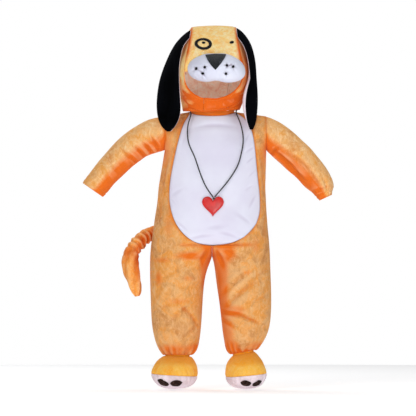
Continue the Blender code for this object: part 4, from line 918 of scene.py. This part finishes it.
def makeShoes():
    upperFinish = plushFinish("shoePlush")
    soleFinish = satinFinish("soleCloth", (0.86, 0.74, 0.80), (0.60, 0.48, 0.52), (0.92, 0.86, 0.95))
    padThread = feltFinish("padThread", (0.05, 0.02, 0.015), (0.14, 0.07, 0.05))
    padFinish = feltFinish("padFelt", (0.006, 0.002, 0.002), (0.032, 0.012, 0.008))
    for side, seed in (("r", 31), ("l", 37)):
        out = outFrom(shoeMiddle[side])
        upper = softCopy("foot_upper_" + side, f"foot_upper_{side}_cloth", 3)
        pushOut(upper, out, shoeHeight(side, shoeSetup["gathers"], shoeSetup["gatherDepth"], seed), shoePaintedShade)
        finishPiece(upper, "foot_upper_" + side, "plush", upperFinish, backing)
        inwardFaces(upper, out, 1)
        sole = softCopy("sole_" + side, f"sole_{side}_cloth", 3)
        pushOut(sole, out, soleHeight(side))
        finishPiece(sole, "sole_" + side, "sole_cloth", soleFinish, backing)
        inwardFaces(sole, out, 1)
        for number in "12":
            name = f"toe_pad_{side}_{number}"
            pad = softCopy(name, name + "_felt", 2)
            reseat(pad, "sole_" + side, sole)
            finishPiece(pad, name, "pad_felt", padFinish)
            stitchRow(name + "_thread", outlineOf(pad, 1.8), pad, padThread, 2.6, 0.3)


# Hood

hoodFolds = {
    "crown": (
        (front, -52, 188, 60, 26, 7, 1.2), (front, 48, 196, -50, 26, 7, 1.2),
        (front, 6, 232, 0, 40, 8, 1.2), (front, 4, 176, 8, 30, 8, 0.6), (back, -20, 190, 10, 34, 8, 1.4),
        (back, 22, 120, -12, 34, 8, 1.4), (back, 4, 60, 6, 30, 7, 1.8),
    ),
    "sides": (
        (front, -84, 96, 70, 24, 5, 1.8), (front, -72, 64, 40, 24, 5, 1.8),
        (front, -58, 30, 20, 24, 5, 1.8), (front, -36, 26, 84, 16, 4, 1.6),
        (front, 20, 24, 74, 16, 5, 1.6), (front, 46, 30, -40, 20, 5, 1.8),
        (front, 64, 52, -64, 24, 5, 1.8), (front, 80, 110, -76, 30, 6, 1.8),
        (front, 88, 160, -70, 26, 6, 1.4), (front, -88, 150, 74, 28, 6, 1.4),
        (back, -84, 70, 66, 30, 7, 2.0), (back, 86, 76, -64, 30, 7, 2.0), (back, -78, 140, 80, 34, 8, 1.4),
        (back, 82, 150, -80, 34, 8, 1.4), (back, -66, 36, 20, 24, 6, 1.6), (back, 66, 38, -22, 24, 6, 1.6),
    ),
    "puff": {
        # puff, swell and its size, crumple and its size, seeds
        "crown": (1.2, 0.6, 0.06, 0.3, 0.025, (41, 43)),
        "sides": (1.1, 0.7, 0.055, 0.4, 0.022, (47, 53)),
    },
    "sideCuts": {"r": 0.0436, "l": 0.0468},
    "threads": {
        "r": {
            "rim": ((-81, 97), (-74, 80), (-64, 66), (-51, 55), (-37, 48), (-27, 44.5)),
            "hem": ((-62, 18), (-50, 16.5), (-36, 15.5), (-27, 15)),
        },
        "l": {
            "closure": ((-19.5, 14), (-19.5, 44)),
            "rim": ((-19, 44), (-6, 42), (12, 42), (31, 46), (50, 53.5), (67, 66), (80, 82), (87, 98)),
            "hem": ((-18, 15), (0, 16), (24, 17), (46, 18.5), (64, 20)),
        },
    },
}


def hoodHeight(panel):
    puff, swell, swellSize, crumple, crumpleSize, seed = hoodFolds["puff"][panel]

    def height(here, rim):
        out = puff + creaseField(here, hoodFolds[panel])
        out += swell * ripple(here, swellSize, seed[0]) + crumple * ripple(here, crumpleSize, seed[1])
        return out * (1 - np.exp(-((rim / 0.006) ** 2)))

    return height


def hoodPaintedShade(here, rim):
    # painted shade: none at the gold brow, deeper towards the cheeks, deepest on the chin band and along the
    # edges, less at two rubbed patches on the -X front
    x, y, z = (here / mm).T
    cheek = 0.58 * np.clip((np.abs(x - 6) - 52) / 34, 0, 1) * np.clip((20 - y) / 60, 0.35, 1)
    chin = 0.95 * np.clip((74 - z) / 26, 0, 1) * np.clip((20 - y) / 60, 0.4, 1)
    edge = 0.45 * np.exp(-((rim / 0.005) ** 2))
    pale = np.exp(-(((x + 78) / 16) ** 2) - ((z - 128) / 46) ** 2) * (y < 0)
    paler = np.exp(-(((x + 66) / 22) ** 2) - ((z - 34) / 15) ** 2) * (y < 0)
    return np.maximum(cheek, chin) + edge - 0.75 * pale - 0.65 * paler


def makeHood():
    finish = plushFinish("hoodPlushPaintedLight")
    crown = softCopy("hood_crown", "hood_crown_cloth", 3)
    pushOut(crown, hoodOut, hoodHeight("crown"), hoodPaintedShade)
    finishPiece(crown, "hood_crown", "plush", finish, hoodLining)
    inwardFaces(crown, hoodOut, 1)
    for side, area in hoodFolds["sideCuts"].items():
        piece = softCopy("hood_side_" + side, f"hood_side_{side}_cloth", 3)
        pushOut(piece, hoodOut, hoodHeight("sides"), hoodPaintedShade)
        finishPiece(piece, "hood_side_" + side, "plush", finish, hoodLining)
        inwardFaces(piece, hoodOut, 1)
        for line, points in hoodFolds["threads"][side].items():
            stitchRow(f"{line}_thread_{side}", frontRoute(piece, points), piece, orangeThread)
    felt = feltFinish("blackFelt", (0.003, 0.003, 0.004), (0.016, 0.016, 0.019))
    for name in ("eye_ring", "eye_r", "eye_l"):
        piece = softCopy(name, name + "_felt", 2)
        reseat(piece, "hood_crown", crown)
        finishPiece(piece, name, "black_felt", felt)


muzzleSetup = {
    "dots": ((-45, 127), (-20, 131.5), (-25, 114), (41, 137), (58.5, 133.7), (38, 113.3)),
    "puckerDepth": 3.4, "puckerReach": 6.0, "wrinkleDepth": 0.9, "wrinkleReach": 13.0,
    "creases": (
        (front, -27, 114, -46, 20, 3.0, 3.0), (front, -38, 108, -38, 14, 3.5, 1.2),
        (front, 50, 138, 34, 14, 3.2, 1.7), (front, 22, 108, -70, 14, 5, 0.9),
        (front, -8, 104, 60, 12, 5, 0.8), (front, 64, 120, -50, 14, 4, 0.8),
        (front, -56, 118, 50, 14, 4, 0.8), (front, 34, 124, 62, 12, 3.5, 0.7),
    ),
}


def muzzleHeight(here, rim):
    x, _, z = (here / mm).T
    out = creaseField(here, muzzleSetup["creases"]) + 0.35 * ripple(here, 0.03, 61)
    for number, (dotX, dotZ) in enumerate(muzzleSetup["dots"]):
        reach = np.hypot(x - dotX, z - dotZ)
        bearing = np.arctan2(z - dotZ, x - dotX)
        out -= muzzleSetup["puckerDepth"] * np.exp(-((reach / muzzleSetup["puckerReach"]) ** 2))
        rays = np.cos((4 + number % 3) * bearing + number)
        ring = np.exp(-(((reach - 6) / muzzleSetup["wrinkleReach"] * 2) ** 2))
        out += muzzleSetup["wrinkleDepth"] * rays * ring
    out = out * (1 - np.exp(-((rim / 0.006) ** 2))) + 0.4
    return out * (here[:, 1] < -0.112)


def makeMuzzle():
    piece = softCopy("muzzle", "muzzle_cloth", 3, 60)
    pushOut(piece, lambda here: np.tile((0.0, -1.0, 0.0), (len(here), 1)), muzzleHeight)
    finish = whiteClothFinish(
        "muzzleCloth", (0.74, 0.77, 0.90), (0.64, 0.66, 0.80), (0.34, 0.29, 0.37), 520.0)
    finishPiece(piece, "muzzle", "white_satin", finish)
    nose = softCopy("nose", "nose_cloth", 2)
    reseat(nose, "muzzle", piece)
    finishPiece(nose, "nose", "nose_twill", twillFinish())
    noseThread = feltFinish("noseThread", (0.06, 0.065, 0.08), (0.16, 0.17, 0.21))
    stitchRow("nose_thread", outlineOf(nose, 1.6), nose, noseThread, 2.4, 0.28)
    felt = feltFinish("dotThread", (0.003, 0.003, 0.004), (0.02, 0.02, 0.024))
    for number in range(1, 7):
        name = f"whisker_dot_{number}"
        dot = softCopy(name, name + "_thread", 2)
        reseat(dot, "muzzle", piece)
        finishPiece(dot, name, "black_felt", felt)


# Ears

earSetup = {
    "swell": 2.2, "swellSize": 0.09, "crumple": 0.5, "crumpleSize": 0.035,
    "cuts": {"r": (0.105, 0.30, 0.0243), "l": (0.10, 0.30, 0.0223)},
}


def earWave(piece, side):
    # outer and lining bend alike
    here = places(piece)
    hang = np.clip((0.215 - here[:, 2]) / 0.06, 0, 1)
    wave = earSetup["swell"] * ripple(here, earSetup["swellSize"], 71)
    wave += earSetup["crumple"] * ripple(here, earSetup["crumpleSize"], 73)
    way = np.array((0.8 * side, -0.25, 0.0))
    setPlaces(piece, here + way * (wave * hang * mm)[:, None])


def makeEars():
    outerFinish = blackPlushFinish()
    liningFinish = satinFinish("earSatin", (0.80, 0.72, 0.78), (0.66, 0.55, 0.62), (1.0, 0.9, 0.95))
    for side, sign in (("r", -1), ("l", 1)):
        outer = softCopy("ear_outer_" + side, f"ear_outer_{side}_cloth", 2)
        earWave(outer, sign)
        finishPiece(outer, "ear_outer_" + side, "black_plush", outerFinish)
        lining = softCopy("ear_lining_" + side, f"ear_lining_{side}_cloth", 2)
        earWave(lining, sign)
        finishPiece(lining, "ear_lining_" + side, "ear_satin", liningFinish)


# Tail

tailSetup = {"ruches": 26, "ruchDepth": 3.6, "twists": 4, "twistDepth": 2.0}
tailLine = (
    # x, y, z of its middle line, in millimetres
    (0, 86.35, -298), (-1, 104, -299), (-16, 116, -302), (-44, 117, -307), (-90, 107, -314),
    (-136, 86, -322), (-174, 57, -327), (-200, 36, -345), (-222, 22, -378), (-225, 20, -412),
    (-216, 20, -448), (-208, 20, -480), (-205, 20, -496),
)


def makeTail():
    piece = softCopy("tail", "tail_cloth", 3, 60)
    here = places(piece)
    line = np.array(tailLine) * mm
    steps = np.linalg.norm(np.diff(line, axis=0), axis=1)
    lengths = np.concatenate(([0], np.cumsum(steps)))
    fine = np.linspace(0, lengths[-1], 400)
    path = np.column_stack([np.interp(fine, lengths, line[:, axis]) for axis in range(3)])
    nearest = np.array([((path - point) ** 2).sum(1).argmin() for point in here])
    run = fine[nearest]
    out = here - path[nearest]
    out /= np.maximum(np.linalg.norm(out, axis=1), 1e-6)[:, None]
    tangent = np.gradient(path, axis=0)[nearest]
    tangent /= np.linalg.norm(tangent, axis=1)[:, None]
    upward = np.cross(tangent, np.array((0.0, 1.0, 0.0)))
    bearing = np.arctan2((out * np.array((0.0, 1.0, 0.0))).sum(1), (out * upward).sum(1))
    share = run / lengths[-1]
    phase = 2 * math.pi * tailSetup["ruches"] * share
    phase += 1.4 * np.sin(2 * bearing) + 1.0 * np.sin(3 * bearing + 9 * share)
    ruched = np.clip((0.74 - share) / 0.12, 0, 1)
    uneven = 0.75 + 0.35 * np.sin(2 * bearing + 20 * share) + 0.4 * ripple(here, 0.045, 85)
    ruche = np.abs(np.sin(phase)) ** 0.8 * np.sign(np.sin(phase)) + 0.15
    height = tailSetup["ruchDepth"] * ruche * uneven * ruched
    twist = np.sin(tailSetup["twists"] * bearing + 26 * share)
    height += tailSetup["twistDepth"] * twist * (1 - ruched * 0.8)
    height += 0.5 * ripple(here, 0.02, 81)
    ends = np.clip(run / 0.012, 0, 1) * np.clip((lengths[-1] - run) / 0.02, 0, 1)
    # the ruche height, which the finish turns into painted shade in the troughs and painted highlight on the
    # ridges
    paint(piece, "fold", 0.5 + height / 8)
    # painted shade: deeper on the side facing +X, towards the body, over a random tone
    paint(piece, "paintedShade", 0.25 + 0.5 * ripple(here, 0.05, 83) + 0.3 * np.clip(out[:, 0] * 2, 0, 1))
    setPlaces(piece, here + out * (height * ends * mm)[:, None])
    finishPiece(piece, "tail", "plush", plushFinish("tailPlush"))


# Necklace

cordSetup = {"radius": 1.75, "points": 60}
cordRoute = (
    (3, -99.6, -223.2), (-17, -95, -194), (-32, -90.6, -159), (-47, -86.8, -115), (-62, -78.5, -81),
    (-67, -72.5, -56), (-66, -65.5, -27), (-58, -56.5, 4), (-62, -36, 17), (-69, -10, 19), (-64, 16, 20),
    (-46, 37, 21), (-20, 46.5, 22), (0, 47.5, 22.5), (22, 46, 22), (46, 37, 21), (65, 15, 21),
    (71, -8, 19), (68, -34, 17), (67, -54, 6), (78, -62, -22), (85, -69, -56), (83, -75, -90),
    (71, -82.5, -135), (51, -88.8, -169), (32, -94, -194), (7, -99.6, -223.2),
)


def smoothLine(route, count):
    # points on a smooth curve through the route
    route = np.array(route, float)
    slopes = np.empty_like(route)
    slopes[1:-1] = (route[2:] - route[:-2]) / 2
    slopes[0], slopes[-1] = route[1] - route[0], route[-1] - route[-2]
    points = []
    for place in np.linspace(0, len(route) - 1, count):
        low = min(int(place), len(route) - 2)
        t = place - low
        points.append(
            (2 * t**3 - 3 * t**2 + 1) * route[low] + (3 * t**2 - 2 * t**3) * route[low + 1]
            + (t**3 - 2 * t**2 + t) * slopes[low] + (t**3 - t**2) * slopes[low + 1])
    return points


def makeNecklace():
    curve = bpy.data.curves.new("neck_cord", "CURVE")
    curve.dimensions = "3D"
    curve.bevel_depth = cordSetup["radius"] * mm
    curve.bevel_resolution = 4
    curve.use_fill_caps = True
    points = smoothLine(cordRoute, cordSetup["points"] * 3)
    spline = curve.splines.new("POLY")
    spline.points.add(len(points) - 1)
    for point, place in zip(spline.points, points):
        point.co = (*(place * mm), 1)
    neckCord = bpy.data.objects.new("neck_cord", curve)
    bpy.context.scene.collection.objects.link(neckCord)
    finishPiece(neckCord, "cord", "cord", cordFinish("cordBraid", (0.004, 0.004, 0.006), (0.03, 0.03, 0.045)))

    heart = softCopy("heart", "heart_charm", 2, 70)
    finishPiece(heart, "heart", "heart", heartFinish())
    knot = softCopy("knot", "knot_wrap", 2)
    finishPiece(knot, "knot", "cord", cordFinish("knotThread", (0.006, 0.007, 0.003), (0.05, 0.055, 0.025)))


makeCamera()
makeStage()
makeLights()
print("camera, floor and lights are set")
bodyPlush = plushFinish("jumpsuitPlush")
orangeThread = feltFinish("orangeThread", (0.62, 0.22, 0.04), (0.90, 0.48, 0.16))
backing = backingFinish()
hoodLining = hoodLiningFinish()
makeNecklace()
print("necklace is made")
makeBodyPanels()
makeBelly()
makeCollar()
makeSleeves()
print("jumpsuit is made")
makeShoes()
print("shoe covers are made")
makeHood()
makeMuzzle()
makeEars()
print("hood is made")
makeTail()
print("tail is made")
